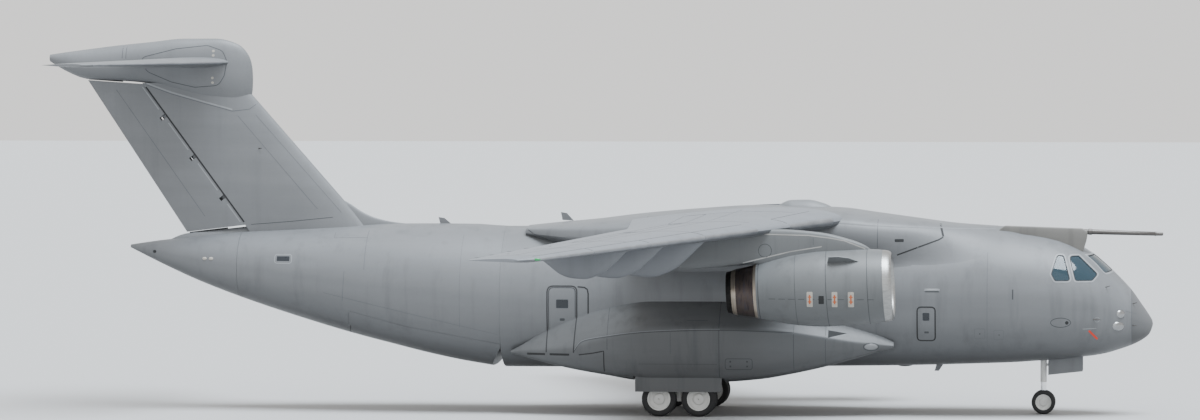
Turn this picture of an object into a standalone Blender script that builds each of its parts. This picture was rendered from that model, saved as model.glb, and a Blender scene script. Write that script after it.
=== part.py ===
"""Military transport plane on its landing gear: high swept wing, two turbofans, T-tail, rear ramp.

Metres. +X is forward, +Y is the left wing, +Z is up, and z = 0 is the ground.
Every object is one closed solid. Pieces that touch keep a gap of 0.3 mm.
"""
import math

import bmesh
import bpy
from mathutils import Matrix, Vector

# Clearances and walls
GAP = 0.0003
WALL = 0.15
CLEAR = 0.006

# Fuselage outline: station x, top z, bottom z, half width
HULL = (
    (17.44, 2.98, 2.74, 0.12),
    (17.36, 3.12, 2.55, 0.31),
    (17.12, 3.47, 2.35, 0.66),
    (16.80, 3.92, 2.19, 1.00),
    (16.40, 4.35, 2.05, 1.30),
    (16.00, 4.73, 1.93, 1.53),
    (15.55, 5.10, 1.85, 1.73),
    (15.10, 5.36, 1.80, 1.87),
    (14.50, 5.60, 1.73, 2.01),
    (13.80, 5.74, 1.68, 2.13),
    (13.10, 5.82, 1.63, 2.21),
    (12.35, 5.87, 1.60, 2.25),
    (8.90, 5.87, 1.50, 2.25),
    (-2.93, 5.86, 1.40, 2.25),
    (-3.90, 5.92, 1.52, 2.24),
    (-5.20, 5.93, 1.77, 2.20),
    (-6.60, 5.92, 2.11, 2.09),
    (-7.89, 5.84, 2.44, 1.94),
    (-9.60, 5.76, 2.94, 1.66),
    (-11.48, 5.65, 3.55, 1.27),
    (-12.90, 5.50, 4.08, 0.90),
    (-14.20, 5.36, 4.66, 0.50),
    (-15.15, 5.22, 5.12, 0.08),
)
HULL_SIDES = 28
WAIST = 0.489
UPPER_POWER = 1.0
LOWER_POWER = 0.72

# Joints between the fuselage panels, front to back
RADOME_AFT = 16.80
COCKPIT_AFT = 12.35
FORWARD_AFT = 8.90
CENTRE_AFT = -2.93
TAIL_AFT = -11.48

# Cargo hold
FLOOR_TOP = 2.15
FLOOR_DEEP = 0.12

# Ramp: its upper seam on the fuselage side as x, z, its hinge and its slanted front face
SEAM = ((-2.93, 2.20), (-6.02, 2.75), (-7.89, 3.24))
RAMP_HINGE = (-2.935, 2.09)
RAMP_TIP = (-7.886, 2.44)
RAMP_TIP_DEEP = 0.30
RAMP_LEAN = math.radians(32.0)
BARREL = 0.05
BARREL_SEAT = 0.0506
BARREL_SIDES = 24
BARREL_HALF = 1.20

# Cargo door behind the ramp: hinge at its aft end, half widths at its front and aft ends
DOOR_HINGE = (-11.26, 3.66)
DOOR_FRONT = -7.895
DOOR_AFT = -11.275
DOOR_HALF_FRONT = 1.42
DOOR_HALF_AFT = 0.66
BULKHEAD_FACE = -11.28
# Its aft corners are trimmed ahead of this x above this z, because they turn towards the bulkhead
DOOR_TRIM = (-11.20, 3.645)
# Seal gap between ramp and cargo door, and the ramp's side walls outside this half width
DOOR_SEAL = 0.02
RAMP_WALL_Y = 1.46

# Crew door on the left side, hinged along its sill
CREW_X = (10.15, 10.95)
CREW_Z = (2.20, 3.95)
CREW_BARREL = 0.03

# Paratroop doors on both sides, behind the wing
TROOP_X = (-1.36, -0.54)
TROOP_Z = (2.05, 3.98)

# Side windows as x, z corners, and the windshield as y, z corners
WINDOWS = {
    "side_window_front": ((14.86, 5.03), (15.17, 5.03), (15.77, 4.45), (15.59, 4.25), (15.06, 4.25)),
    "side_window_rear": ((14.49, 5.05), (14.70, 5.05), (14.93, 4.25), (14.43, 4.25), (14.31, 4.47)),
}
WINDSHIELD = ((0.0, 4.56), (0.93, 4.47), (0.78, 5.02), (0.0, 5.06))
PANE_IN = 0.02
PANE_DEEP = 0.045

# Wing fairing: x, top z, half width, lower edge z
FAIRING = (
    (12.60, 5.92, 0.60, 5.60),
    (11.41, 6.00, 1.20, 5.45),
    (10.15, 6.16, 1.75, 5.25),
    (8.89, 6.33, 2.15, 5.00),
    (7.63, 6.49, 2.30, 4.90),
    (5.09, 6.55, 2.35, 4.90),
    (3.19, 6.44, 2.35, 4.90),
    (1.28, 6.27, 2.30, 4.90),
    (0.00, 6.11, 2.10, 5.05),
    (-1.28, 5.99, 1.70, 5.30),
    (-2.24, 5.89, 1.10, 5.50),
)
# Fairing section from the lower edge up: share of half width, share of height
FAIRING_SHAPE = ((0.72, 0.0), (1.0, 0.42), (0.97, 0.72), (0.62, 0.94), (0.0, 1.0))
# Dome on the fairing: x, height above the fairing top at the middle, half width
DOME = ((7.50, 6.42, 0.10), (7.15, 6.60, 0.34), (6.60, 6.72, 0.45), (6.10, 6.71, 0.42), (5.50, 6.45, 0.12))

# Lifting surfaces: span station, leading edge x, trailing edge x, height, thickness over chord
WING = (
    (2.00, 7.87, 1.25, 6.12, 0.125),
    (5.90, 5.90, 1.52, 5.95, 0.115),
    (17.15, 0.225, -1.705, 5.44, 0.10),
    (17.525, -0.35, -1.80, 5.42, 0.06),
)
TAILPLANE = (
    (0.0, -11.75, -15.20, 11.06, 0.10),
    (6.05, -15.10, -16.62, 10.96, 0.09),
    (6.25, -15.40, -16.66, 10.96, 0.06),
)
FIN = (
    (5.20, -6.94, -13.04, 0.0, 0.11),
    (10.45, -11.57, -16.52, 0.0, 0.10),
)
FIN_ENDS = (5.25, 10.40)
CHORD_STEPS = (0.0, 0.02, 0.08, 0.20, 0.38, 0.58, 0.80, 1.0)

# Moving and fixed trailing edge pieces: span range, hinge as a share of the chord
FLAP_SPAN = (2.50, 12.40)
AILERON_SPAN = (12.52, 16.85)
WING_HINGE = 0.74
ELEVATOR_SPAN = (0.62, 5.98)
ELEVATOR_HINGE = 0.70
RUDDER_HINGE = 0.66
RUDDER_FOOT = ((-11.42, 5.86), (-13.40, 5.62))
RUDDER_TOP = 10.34
END_GAP = 0.035
PIN = 0.025
PIN_BORE = 0.0260
PIN_SIDES = 12
LUG_HALF = 0.05

# Flap track fairings: span station, length ahead of and behind the trailing edge, depth, half width
TRACKS = ((7.4, 2.0, 0.75, 0.62, 0.17), (9.9, 1.8, 0.70, 0.58, 0.16), (12.4, 1.6, 0.65, 0.52, 0.15))

# Bullet fairing of the T-tail: x, top z, bottom z, half width
BULLET = (
    (-11.20, 10.95, 10.05, 0.05),
    (-11.35, 11.35, 9.78, 0.17),
    (-11.70, 11.66, 9.60, 0.28),
    (-12.40, 11.82, 9.72, 0.38),
    (-13.40, 11.82, 10.03, 0.45),
    (-14.50, 11.71, 10.38, 0.46),
    (-15.50, 11.61, 10.47, 0.44),
    (-16.55, 11.48, 10.52, 0.38),
    (-17.30, 11.38, 10.80, 0.27),
    (-17.78, 11.31, 11.09, 0.10),
)
BULLET_SIDES = 16

# Engines: lip centre, tilt, and turned outlines as distance behind the lip, radius
ENGINE_LIP = (9.62, 5.70, 4.26)
ENGINE_TILT = math.radians(2.76)
ENGINE_SIDES = 24
COWL = (
    (0.0, 0.97), (0.03, 1.03), (0.20, 1.09), (1.20, 1.16), (2.10, 1.16), (2.90, 1.09), (4.13, 0.83),
    (4.13, 0.74), (2.60, 0.83), (0.90, 0.84), (0.10, 0.90),
)
COWL_OUTER = 7
NOZZLE = ((4.1303, 0.82), (4.60, 0.74), (4.90, 0.655), (4.90, 0.62), (4.55, 0.69), (4.1303, 0.75))
CORE = ((1.35, 0.36), (1.60, 0.46), (2.40, 0.50), (3.60, 0.42), (4.30, 0.30), (4.80, 0.06))
CORE_BORE = (1.60, 0.05055)
FAN_SHAFT = ((1.585, 0.05), (1.30, 0.05), (1.30, 0.30), (0.98, 0.28), (0.75, 0.19), (0.60, 0.06))
VANE = (1.95, 2.30, 0.04)
VANE_WALL = 0.8317
BLADES = 18
BLADE_ROOT = (0.24, 0.19, math.radians(32.0))
BLADE_TIP = (0.812, 0.22, math.radians(60.0))
BLADE_THICK = 0.022
BLADE_AT = 1.14
PYLON_HALF = 0.22
PYLON = (
    (9.00, 5.15), (9.00, 5.40), (8.30, 5.66), (7.30, 5.88), (6.10, 5.96), (5.00, 5.93), (3.00, 5.90),
    (2.90, 5.05), (3.20, 4.70), (5.45, 4.91), (5.60, 4.80),
)

# Sponson outline: x, upper edge z, widest z, bottom z, half width
SPONSON = (
    (9.45, 2.34, 2.22, 2.10, 2.24),
    (9.05, 2.52, 2.25, 2.03, 2.36),
    (8.12, 2.85, 2.33, 1.78, 2.62),
    (7.18, 3.10, 2.48, 1.53, 2.83),
    (6.25, 3.40, 2.60, 1.33, 2.98),
    (5.31, 3.57, 2.68, 1.17, 3.08),
    (4.07, 3.66, 2.72, 1.08, 3.14),
    (1.90, 3.66, 2.66, 1.08, 3.14),
    (0.31, 3.42, 2.36, 1.29, 2.98),
    (-0.62, 3.11, 2.10, 1.44, 2.76),
    (-1.47, 2.67, 2.03, 1.62, 2.50),
    (-2.20, 2.20, 1.99, 1.80, 2.22),
    (-2.59, 2.00, 1.96, 1.90, 2.08),
)
SPONSON_INNER = 1.30

# Main landing gear
GEAR_X = 2.77
GEAR_Y = 2.25
WELL_X = (1.35, 4.20)
WELL_Y = (1.68, 2.82)
WELL_TOP = 1.78
MAIN_AXLES = (0.62, -0.62)
MAIN_TYRE = 0.545
MAIN_BORE = 0.0715
WHEEL_SIDES = 16
# Half of the turned outline of a twin wheel: distance from the middle, radius
MAIN_WHEEL = ((0.11, 0.070), (0.11, 0.40), (0.16, 0.545), (0.38, 0.545), (0.43, 0.42), (0.43, 0.28),
              (0.37, 0.25), (0.37, 0.09))
STRUT = 0.14
BOGIE_HALF = (0.66, 0.09, 0.09)
BOSS = 0.13
MAIN_DOOR = (1.42, 4.13, 0.78, 1.32)
DOOR_THICK = 0.03

# Nose landing gear
NOSE_X = 14.05
NOSE_WELL = (13.90, 15.35)
NOSE_WELL_HALF = 0.33
NOSE_TYRE = 0.375
NOSE_BORE = 0.0409
NOSE_WHEEL = ((0.07, 0.040), (0.07, 0.29), (0.10, 0.375), (0.25, 0.375), (0.28, 0.29), (0.28, 0.20),
              (0.24, 0.18), (0.24, 0.055))
NOSE_STRUT = 0.10
NOSE_PISTON = 0.06
NOSE_PISTON_BORE = 0.0613
NOSE_BEAM_Z = 1.80
NOSE_LEG_FOOT = 1.00
NOSE_DOOR = ((14.20, 1.80), (15.28, 1.90), (15.28, 1.36), (14.20, 1.24))

# Refuelling probe and its fairing on the right of the nose
PROBE_Y = -0.60
PROBE_HALF = 0.12
PROBE_FAIRING = ((12.65, 5.80), (12.85, 5.94), (15.26, 5.86), (15.44, 5.77), (15.40, 5.50), (15.25, 5.00),
                 (12.65, 5.00))
PROBE_RADIUS = 0.05
PROBE_TIP = (17.78, 5.69)
PROBE_ROOT = (15.20, 5.76)

# Flight deck
DECK_TOP = 3.40
DECK_DEEP = 0.12
DECK_X = (12.80, 16.45)
DECK_WALL_X = (12.80, 12.90)
SEAT_X = 14.20
SEAT_Y = 0.58
PANEL_X = (15.35, 15.65)
PANEL_TOP = 4.20
PEDESTAL = (14.75, 15.40, 0.22, 3.95)

# Surface colours: red, green, blue, metallic, roughness
FINISHES = {
    "grey_paint": (0.27, 0.29, 0.31, 0.0, 0.55),
    "dark_metal": (0.10, 0.09, 0.08, 1.0, 0.35),
    "bright_metal": (0.62, 0.63, 0.65, 1.0, 0.25),
    "white_paint": (0.75, 0.75, 0.75, 0.0, 0.4),
    "glass": (0.05, 0.07, 0.10, 0.0, 0.05),
    "rubber": (0.03, 0.03, 0.03, 0.0, 0.8),
    "interior": (0.30, 0.32, 0.33, 0.0, 0.7),
}


def finish(obj, name):
    """Give the object its own material in the named colour."""
    red, green, blue, metallic, roughness = FINISHES[name]
    surface = bpy.data.materials.new(obj.name)
    surface.use_nodes = True
    shader = surface.node_tree.nodes["Principled BSDF"]
    shader.inputs["Base Color"].default_value = (red, green, blue, 1.0)
    shader.inputs["Metallic"].default_value = metallic
    shader.inputs["Roughness"].default_value = roughness
    surface.diffuse_color = (red, green, blue, 1.0)
    obj.data.materials.clear()
    obj.data.materials.append(surface)
    obj.data.shade_smooth()
    obj.data.set_sharp_from_angle(angle=math.radians(35.0))
    return obj


def solid(name, points, faces):
    """Make an object from points and faces, with every face turned outwards."""
    mesh = bpy.data.meshes.new(name)
    mesh.from_pydata([tuple(p) for p in points], [], faces)
    work = bmesh.new()
    work.from_mesh(mesh)
    bmesh.ops.recalc_face_normals(work, faces=work.faces)
    work.to_mesh(mesh)
    work.free()
    obj = bpy.data.objects.new(name, mesh)
    bpy.context.scene.collection.objects.link(obj)
    return obj


def loft(name, rings, closed=False):
    """Skin the rings in order. A closed loft joins its last ring to its first, others get flat ends.

    A twisted facet is split from its forward ring to its aft one, so that nested skins stay parallel.
    """
    count = len(rings[0])
    points = [Vector(point) for ring in rings for point in ring]
    faces = []
    pairs = len(rings) if closed else len(rings) - 1
    for row in range(pairs):
        start, after = row * count, (row + 1) % len(rings) * count
        if points[start].x < points[after].x:
            start, after = after, start
        for step in range(count):
            follow = (step + 1) % count
            a, b, c, d = start + step, start + follow, after + follow, after + step
            twist = (points[b] - points[a]).cross(points[d] - points[a]).dot(points[c] - points[a])
            faces += [(a, b, c, d)] if abs(twist) < 1e-9 else [(a, b, c), (a, c, d)]
    if not closed:
        faces.append(tuple(range(count)))
        faces.append(tuple(range((len(rings) - 1) * count, len(rings) * count)))
    return solid(name, points, faces)


def block(name, low, high):
    """A box between two corners."""
    rings = [
        [(x, low[1], low[2]), (x, high[1], low[2]), (x, high[1], high[2]), (x, low[1], high[2])]
        for x in (low[0], high[0])
    ]
    return loft(name, rings)


def prism(name, outline, axis, low, high):
    """A flat outline pushed along x, y or z from low to high."""
    place = {
        "x": lambda a, b, at: (at, a, b),
        "y": lambda a, b, at: (a, at, b),
        "z": lambda a, b, at: (a, b, at),
    }[axis]
    return loft(name, [[place(a, b, at) for a, b in outline] for at in (low, high)])


def turned(name, outline, sides, closed=False, phase=0.0):
    """Turn an outline of (distance, radius) about the local x axis."""
    rings = []
    for along, radius in outline:
        angles = (2 * math.pi * (step + phase) / sides for step in range(sides))
        rings.append([(along, radius * math.cos(a), radius * math.sin(a)) for a in angles])
    return loft(name, rings, closed)


def rod(name, start, end, radius, sides):
    """A round bar between two points."""
    start, end = Vector(start), Vector(end)
    bar = turned(name, ((0.0, radius), ((end - start).length, radius)), sides)
    turn = (end - start).to_track_quat("X", "Z").to_matrix().to_4x4()
    bar.data.transform(Matrix.Translation(start) @ turn)
    return bar


def weld(mesh):
    """Merge points that a Boolean left within a micrometre of each other."""
    work = bmesh.new()
    work.from_mesh(mesh)
    bmesh.ops.remove_doubles(work, verts=work.verts, dist=1e-6)
    work.to_mesh(mesh)
    work.free()


def combine(body, tool, operation):
    """Apply a Boolean of the tool to the body and remove the tool."""
    modifier = body.modifiers.new("combine", "BOOLEAN")
    modifier.operation = operation
    modifier.object = tool
    shape = bpy.context.evaluated_depsgraph_get()
    mesh = bpy.data.meshes.new_from_object(body.evaluated_get(shape))
    weld(mesh)
    body.modifiers.clear()
    body.data = mesh
    bpy.data.objects.remove(tool)
    return body


def cut(body, *tools):
    """Take the tools away from the body."""
    for tool in tools:
        combine(body, tool, "DIFFERENCE")
    return body


def join(body, *tools):
    """Add the tools to the body."""
    for tool in tools:
        combine(body, tool, "UNION")
    return body


def within(body, tool):
    """Keep what lies inside the tool."""
    return combine(body, tool, "INTERSECT")


def pivot(obj, point):
    """Put the object's origin on its joint, with the mesh where it was."""
    obj.data.transform(Matrix.Translation(-Vector(point)))
    obj.location = point
    return obj


def between(rows, at):
    """Read a table whose first column rises or falls steadily, with straight lines between rows."""
    for before, after in zip(rows, rows[1:]):
        low, high = sorted((before[0], after[0]))
        if low <= at <= high:
            share = (at - before[0]) / (after[0] - before[0])
            return [a + (b - a) * share for a, b in zip(before[1:], after[1:])]
    raise ValueError(f"{at} is outside the table")


# Fuselage


def hull_ring(x, inset=0.0):
    """The fuselage section at x, set in by inset: a round crown over a squarer belly."""
    top, bottom, half = between(HULL, x)
    top, bottom, half = top - inset, bottom + inset, half - inset
    waist = bottom + WAIST * (top - bottom)
    ring = []
    for step in range(HULL_SIDES):
        angle = 2 * math.pi * step / HULL_SIDES
        side, rise = math.cos(angle), math.sin(angle)
        power, reach = (UPPER_POWER, top - waist) if rise >= 0 else (LOWER_POWER, waist - bottom)
        y = half * math.copysign(abs(side) ** power, side)
        z = waist + reach * math.copysign(abs(rise) ** power, rise)
        ring.append((x, y, z))
    return ring


def stations(front, aft):
    """The outline's stations from front to aft, both ends included."""
    inner = [row[0] for row in HULL if aft + 1e-6 < row[0] < front - 1e-6]
    return [front] + inner + [aft]


def hull_solid(name, front, aft, inset):
    """The fuselage shape between two stations, filled."""
    return loft(name, [hull_ring(x, inset) for x in stations(front, aft)])


def hull_tube(name, front, aft, outer=0.0, inner=WALL):
    """The fuselage wall between two stations."""
    along = stations(front, aft)
    rings = [hull_ring(x, outer) for x in along] + [hull_ring(x, inner) for x in reversed(along)]
    return loft(name, rings, closed=True)


def pane(name, cutter):
    """The part of a thin skin inside the cutter, as a window pane."""
    front, aft = 16.75, 13.20
    skin = hull_tube(name, front, aft, PANE_IN, PANE_IN + PANE_DEEP)
    return within(skin, cutter)


def shrink(outline, by):
    """Move each corner of a convex outline inwards, so that its edges move in by about the given length."""
    middle = (sum(p[0] for p in outline) / len(outline), sum(p[1] for p in outline) / len(outline))
    moved = []
    for a, b in outline:
        reach = math.hypot(a - middle[0], b - middle[1])
        share = 1.0 - 1.6 * by / reach
        moved.append((middle[0] + (a - middle[0]) * share, middle[1] + (b - middle[1]) * share))
    return moved


def windshield_outline(by=0.0):
    """The windshield's corners, mirrored about the middle and set in by the given length."""
    right = [(-y, z) for y, z in reversed(WINDSHIELD) if y > 0]
    return shrink(WINDSHIELD + tuple(right), by)


def build_nose():
    """Radome, cockpit shell with its windows cut, and the panes."""
    finish(hull_solid("radome", HULL[0][0], RADOME_AFT + GAP, 0.0), "grey_paint")
    shell = hull_tube("cockpit_shell", RADOME_AFT, COCKPIT_AFT + GAP)
    for name, outline in WINDOWS.items():
        for side, word in ((1, "left"), (-1, "right")):
            near, far = sorted((side * 0.8, side * 2.6))
            cut(shell, prism("cutter", outline, "y", near, far))
            glass = pane(f"{name}_{word}", prism("cutter", shrink(outline, GAP * 2), "y", near, far))
            finish(glass, "glass")
    cut(shell, prism("cutter", windshield_outline(), "x", 15.0, 16.7))
    glass = pane("windshield", prism("cutter", windshield_outline(GAP * 2), "x", 15.0, 16.7))
    finish(glass, "glass")
    well = block("cutter", (NOSE_WELL[0], -NOSE_WELL_HALF, 1.2), (NOSE_WELL[1], NOSE_WELL_HALF, 2.4))
    cut(shell, well)
    finish(shell, "grey_paint")


def crew_opening(name, spare):
    """The space of the crew door in the left wall."""
    low = (CREW_X[0] - spare, 1.4, CREW_Z[0] - spare)
    high = (CREW_X[1] + spare, 2.6, CREW_Z[1] + spare)
    return block(name, low, high)


def crew_axis():
    """The crew door's hinge: y and z of the outer skin at its sill."""
    ring = hull_ring(sum(CREW_X) / 2)
    right_side = [(y, z) for _, y, z in ring if y > 0]
    right_side.sort(key=lambda p: p[1])
    sill = CREW_Z[0]
    for (ya, za), (yb, zb) in zip(right_side, right_side[1:]):
        if za <= sill <= zb:
            return ya + (yb - ya) * (sill - za) / (zb - za), sill
    raise ValueError("the sill is outside the skin")


def build_barrels():
    """Forward and centre fuselage with the crew door and the paratroop doors."""
    forward = hull_tube("forward_fuselage", COCKPIT_AFT, FORWARD_AFT + GAP)
    y, z = crew_axis()
    low, high = CREW_X
    seat = rod("cutter", (low - 0.02, y, z), (high + 0.02, y, z), CREW_BARREL * 1.012, BARREL_SIDES)
    cut(forward, crew_opening("cutter", CLEAR), seat)
    finish(forward, "grey_paint")

    door = within(hull_tube("crew_door", COCKPIT_AFT, FORWARD_AFT), crew_opening("cutter", 0.0))
    join(door, rod("tool", (low, y, z), (high, y, z), CREW_BARREL, BARREL_SIDES))
    finish(pivot(door, (sum(CREW_X) / 2, y, z)), "grey_paint")

    centre = hull_tube("centre_fuselage", FORWARD_AFT, CENTRE_AFT)
    for side in (1, -1):
        cut(centre, troop_space(side, 0.0))
    finish(centre, "grey_paint")


def troop_space(side, inset):
    """The space of a paratroop door, through the wall and the sponson behind the wing."""
    near, far = sorted((side * 1.4, side * 3.4))
    low = (TROOP_X[0] + inset, near, TROOP_Z[0] + inset)
    high = (TROOP_X[1] - inset, far, TROOP_Z[1] - inset)
    return block("cutter", low, high)


def seam_space(name, lift):
    """Everything below the ramp's side seam, moved down by lift."""
    front, aft = SEAM[0], SEAM[-1]
    outline = [(front[0] + 0.5, front[1] - lift)] + [(x, z - lift) for x, z in SEAM]
    outline += [(aft[0] - 0.5, aft[1] + 0.13 - lift), (aft[0] - 0.5, 0.5), (front[0] + 0.5, 0.5)]
    return prism(name, outline, "y", -3.0, 3.0)


def ramp_reach(name, extra):
    """The disc about the ramp's hinge that the ramp turns in."""
    x, z = RAMP_HINGE
    radius = math.dist(RAMP_HINGE, RAMP_TIP) + extra
    return rod(name, (x, -3.0, z), (x, 3.0, z), radius, 240)


def door_outline(spare):
    """The cargo door from above, grown by the clearance."""
    return (
        (DOOR_FRONT + 0.6, DOOR_HALF_FRONT + spare),
        (DOOR_FRONT, DOOR_HALF_FRONT + spare),
        (DOOR_AFT - spare, DOOR_HALF_AFT + spare),
        (DOOR_AFT - spare, -DOOR_HALF_AFT - spare),
        (DOOR_FRONT, -DOOR_HALF_FRONT - spare),
        (DOOR_FRONT + 0.6, -DOOR_HALF_FRONT - spare),
    )


def door_reach(name, extra):
    """The disc about the cargo door's hinge that the door turns in."""
    x, z = DOOR_HINGE
    radius = math.dist(DOOR_HINGE, (DOOR_FRONT, between(HULL, DOOR_FRONT)[1])) + extra
    return rod(name, (x, -RAMP_WALL_Y, z), (x, RAMP_WALL_Y, z), radius, 240)


def build_tail_section():
    """Upswept rear fuselage, open below for the ramp and the cargo door, with its rear bulkhead."""
    tail = hull_tube("tail_section", CENTRE_AFT - GAP, TAIL_AFT + GAP)
    cut(tail, within(seam_space("cutter", 0.0), ramp_reach("reach", CLEAR)))
    cut(tail, prism("cutter", door_outline(CLEAR), "z", 1.5, 4.3))
    wall = hull_solid("tool", BULKHEAD_FACE, TAIL_AFT + 0.04, WALL - 0.02)
    join(tail, wall)
    x, z = DOOR_HINGE
    half = DOOR_HALF_AFT - 0.1
    cut(tail, rod("cutter", (x, -half - 0.02, z), (x, half + 0.02, z), BARREL_SEAT, BARREL_SIDES))
    finish(tail, "grey_paint")
    finish(hull_solid("tail_cone", TAIL_AFT - GAP, HULL[-1][0], 0.0), "grey_paint")


def ramp_lobe(name):
    """The lower lobe of the tail that moves with the ramp, hollow above the ramp's floor."""
    x, z = RAMP_HINGE
    lobe = hull_solid(name, CENTRE_AFT - 0.01, RAMP_TIP[0] - 0.3, 0.0)
    within(lobe, seam_space("cutter", CLEAR))
    within(lobe, ramp_reach("cutter", 0.0))
    lean = (z - 0.5) * math.tan(RAMP_LEAN)
    nose = ((x + 0.2, z), (x - 0.005, z), (x - 0.005 - lean, 0.5), (x + 0.2, 0.5))
    cut(lobe, prism("cutter", nose, "y", -3.0, 3.0))
    hollow = hull_solid("hollow", CENTRE_AFT, RAMP_TIP[0] - 0.4, WALL)
    tip_top = RAMP_TIP[1] + RAMP_TIP_DEEP
    above = ((x + 0.1, FLOOR_TOP), (x, FLOOR_TOP), (RAMP_TIP[0] - 0.4, tip_top), (RAMP_TIP[0] - 0.4, 6.0),
             (x + 0.1, 6.0))
    return cut(lobe, within(hollow, prism("cutter", above, "y", -3.0, 3.0)))


def build_ramp():
    """Loading ramp: a thick floor, and a side wall on each edge that closes the tail's flank."""
    x, z = RAMP_HINGE
    for side, word in ((1, "left"), (-1, "right")):
        near, far = sorted((side * (RAMP_WALL_Y + GAP), side * 3.0))
        wall = within(ramp_lobe(f"ramp_wall_{word}"), block("cutter", (-9.0, near, 0.0), (-2.0, far, 6.0)))
        finish(pivot(wall, (x, 0.0, z)), "grey_paint")
    ramp = within(ramp_lobe("ramp"), block("cutter", (-9.0, -RAMP_WALL_Y, 0.0), (-2.0, RAMP_WALL_Y, 6.0)))
    cut(ramp, door_reach("cutter", DOOR_SEAL))
    join(ramp, rod("tool", (x, -BARREL_HALF, z), (x, BARREL_HALF, z), BARREL, BARREL_SIDES))
    finish(pivot(ramp, (x, 0.0, z)), "grey_paint")


def build_cargo_door():
    """Cargo door: the skin behind the ramp, hinged at its aft end and swinging up inside."""
    x, z = DOOR_HINGE
    door = hull_tube("cargo_door", DOOR_FRONT + 0.5, TAIL_AFT)
    within(door, prism("cutter", door_outline(0.0), "z", 1.5, 4.3))
    within(door, door_reach("cutter", 0.0))
    cut(door, block("cutter", (DOOR_AFT - 0.1, -1.0, DOOR_TRIM[1]), (DOOR_TRIM[0], 1.0, 4.2)))
    half = DOOR_HALF_AFT - 0.1
    join(door, rod("tool", (x, -half, z), (x, half, z), BARREL, BARREL_SIDES))
    finish(pivot(door, (x, 0.0, z)), "grey_paint")


def build_floor():
    """Cargo floor with three keel beams, fitted to the inside of the wall."""
    x, z = RAMP_HINGE
    inside = hull_solid("cargo_floor", COCKPIT_AFT, CENTRE_AFT, WALL + GAP)
    shape = block("shape", (CENTRE_AFT + 0.005, -2.3, FLOOR_TOP - FLOOR_DEEP), (COCKPIT_AFT - 0.1, 2.3, FLOOR_TOP))
    for y in (-1.0, 0.0, 1.0):
        join(shape, block("beam", (-2.5, y - 0.05, 1.0), (12.0, y + 0.05, FLOOR_TOP - 0.05)))
    floor = within(inside, shape)
    half = BARREL_HALF + 0.02
    cut(floor, rod("cutter", (x, -half, z), (x, half, z), BARREL_SEAT, BARREL_SIDES))
    finish(floor, "interior")


def build_flight_deck():
    """Flight deck: floor, rear wall, pedestal, instrument panel and two seats on one base."""
    deck = block("flight_deck", (DECK_X[0], -2.3, DECK_TOP - DECK_DEEP), (DECK_X[1], 2.3, DECK_TOP))
    join(deck, block("tool", (DECK_WALL_X[0], -2.3, DECK_TOP - 0.05), (DECK_WALL_X[1], 2.3, 6.0)))
    front, back, half, top = PEDESTAL[1], PEDESTAL[0], PEDESTAL[2], PEDESTAL[3]
    join(deck, block("tool", (back, -half, DECK_TOP - 0.05), (front, half, top)))
    panel = ((PANEL_X[0], DECK_TOP - 0.05), (PANEL_X[1], DECK_TOP - 0.05), (PANEL_X[1] + 0.1, PANEL_TOP),
             (PANEL_X[0] - 0.1, PANEL_TOP))
    join(deck, prism("tool", panel, "y", -1.35, 1.35))
    seat = ((SEAT_X - 0.30, DECK_TOP - 0.05), (SEAT_X + 0.22, DECK_TOP - 0.05), (SEAT_X + 0.28, 3.85),
            (SEAT_X - 0.12, 3.82), (SEAT_X - 0.28, 4.75), (SEAT_X - 0.40, 4.75), (SEAT_X - 0.30, 3.75))
    for side in (1, -1):
        join(deck, prism("tool", seat, "y", side * SEAT_Y - 0.25, side * SEAT_Y + 0.25))
    within(deck, hull_solid("cutter", RADOME_AFT, COCKPIT_AFT, WALL + GAP))
    finish(deck, "interior")


# Wing, tail and their moving pieces


def half_thickness(share):
    """Half thickness of a symmetric section over its full thickness, at a share of the chord."""
    root = 0.2969 * math.sqrt(share)
    return 5.0 * (root - 0.1260 * share - 0.3516 * share**2 + 0.2843 * share**3 - 0.1015 * share**4)


def wing_place(side):
    """Where a wing or tailplane point lies: x, thickness, span and height to world."""
    return lambda x, thick, span, height: (x, side * span, height + thick)


def fin_place(x, thick, span, height):
    """Where a fin point lies: its span runs up."""
    return (x, height + thick, span)


def section_ring(rows, place, span, grow=0.0):
    """The whole section at a span station, grown outwards for a cutter."""
    lead, trail, height, ratio = between(rows, span)
    chord = lead - trail
    upper = []
    for share in CHORD_STEPS:
        x = lead - share * chord + grow * (1.0 - 2.0 * share)
        upper.append((x, ratio * chord * half_thickness(share) + (grow if share > 0 else 0.0)))
    ring = [place(x, thick, span, height) for x, thick in reversed(upper)]
    ring += [place(x, -thick, span, height) for x, thick in upper[1:]]
    return ring


def hinge_line(rows, place, share, spans):
    """Two points on the hinge and the lean of the hinge from square across the chord."""
    points, ends = [], []
    for span in spans:
        lead, trail, height, _ = between(rows, span)
        x = lead - share * (lead - trail)
        points.append(Vector(place(x, 0.0, span, height)))
        ends.append(x)
    lean = math.atan2(abs(ends[1] - ends[0]), abs(spans[1] - spans[0]))
    return points[0], points[1], lean


def tail_piece_ring(rows, place, span, share, lean, spare=None):
    """Section of a piece behind a hinge, with a round nose, or with spare the space it needs."""
    lead, trail, height, ratio = between(rows, span)
    chord = lead - trail
    hinge = lead - share * chord
    radius = ratio * chord * half_thickness(share) + (spare or 0.0)
    nose = []
    for step in range(7):
        angle = math.pi / 2 - math.pi * step / 6
        nose.append((hinge + radius / math.cos(lean) * math.cos(angle), radius * math.sin(angle)))
    if spare is None:
        rest = [part for part in CHORD_STEPS if part > share + 0.02]
        upper = [(lead - part * chord, ratio * chord * half_thickness(part)) for part in rest]
        outline = list(reversed(upper)) + nose + [(x, -thick) for x, thick in upper]
    else:
        outline = [(trail - 1.0, 0.8), (hinge, 0.8)] + nose + [(hinge, -0.8), (trail - 1.0, -0.8)]
    return [place(x, thick, span, height) for x, thick in outline]


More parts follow.
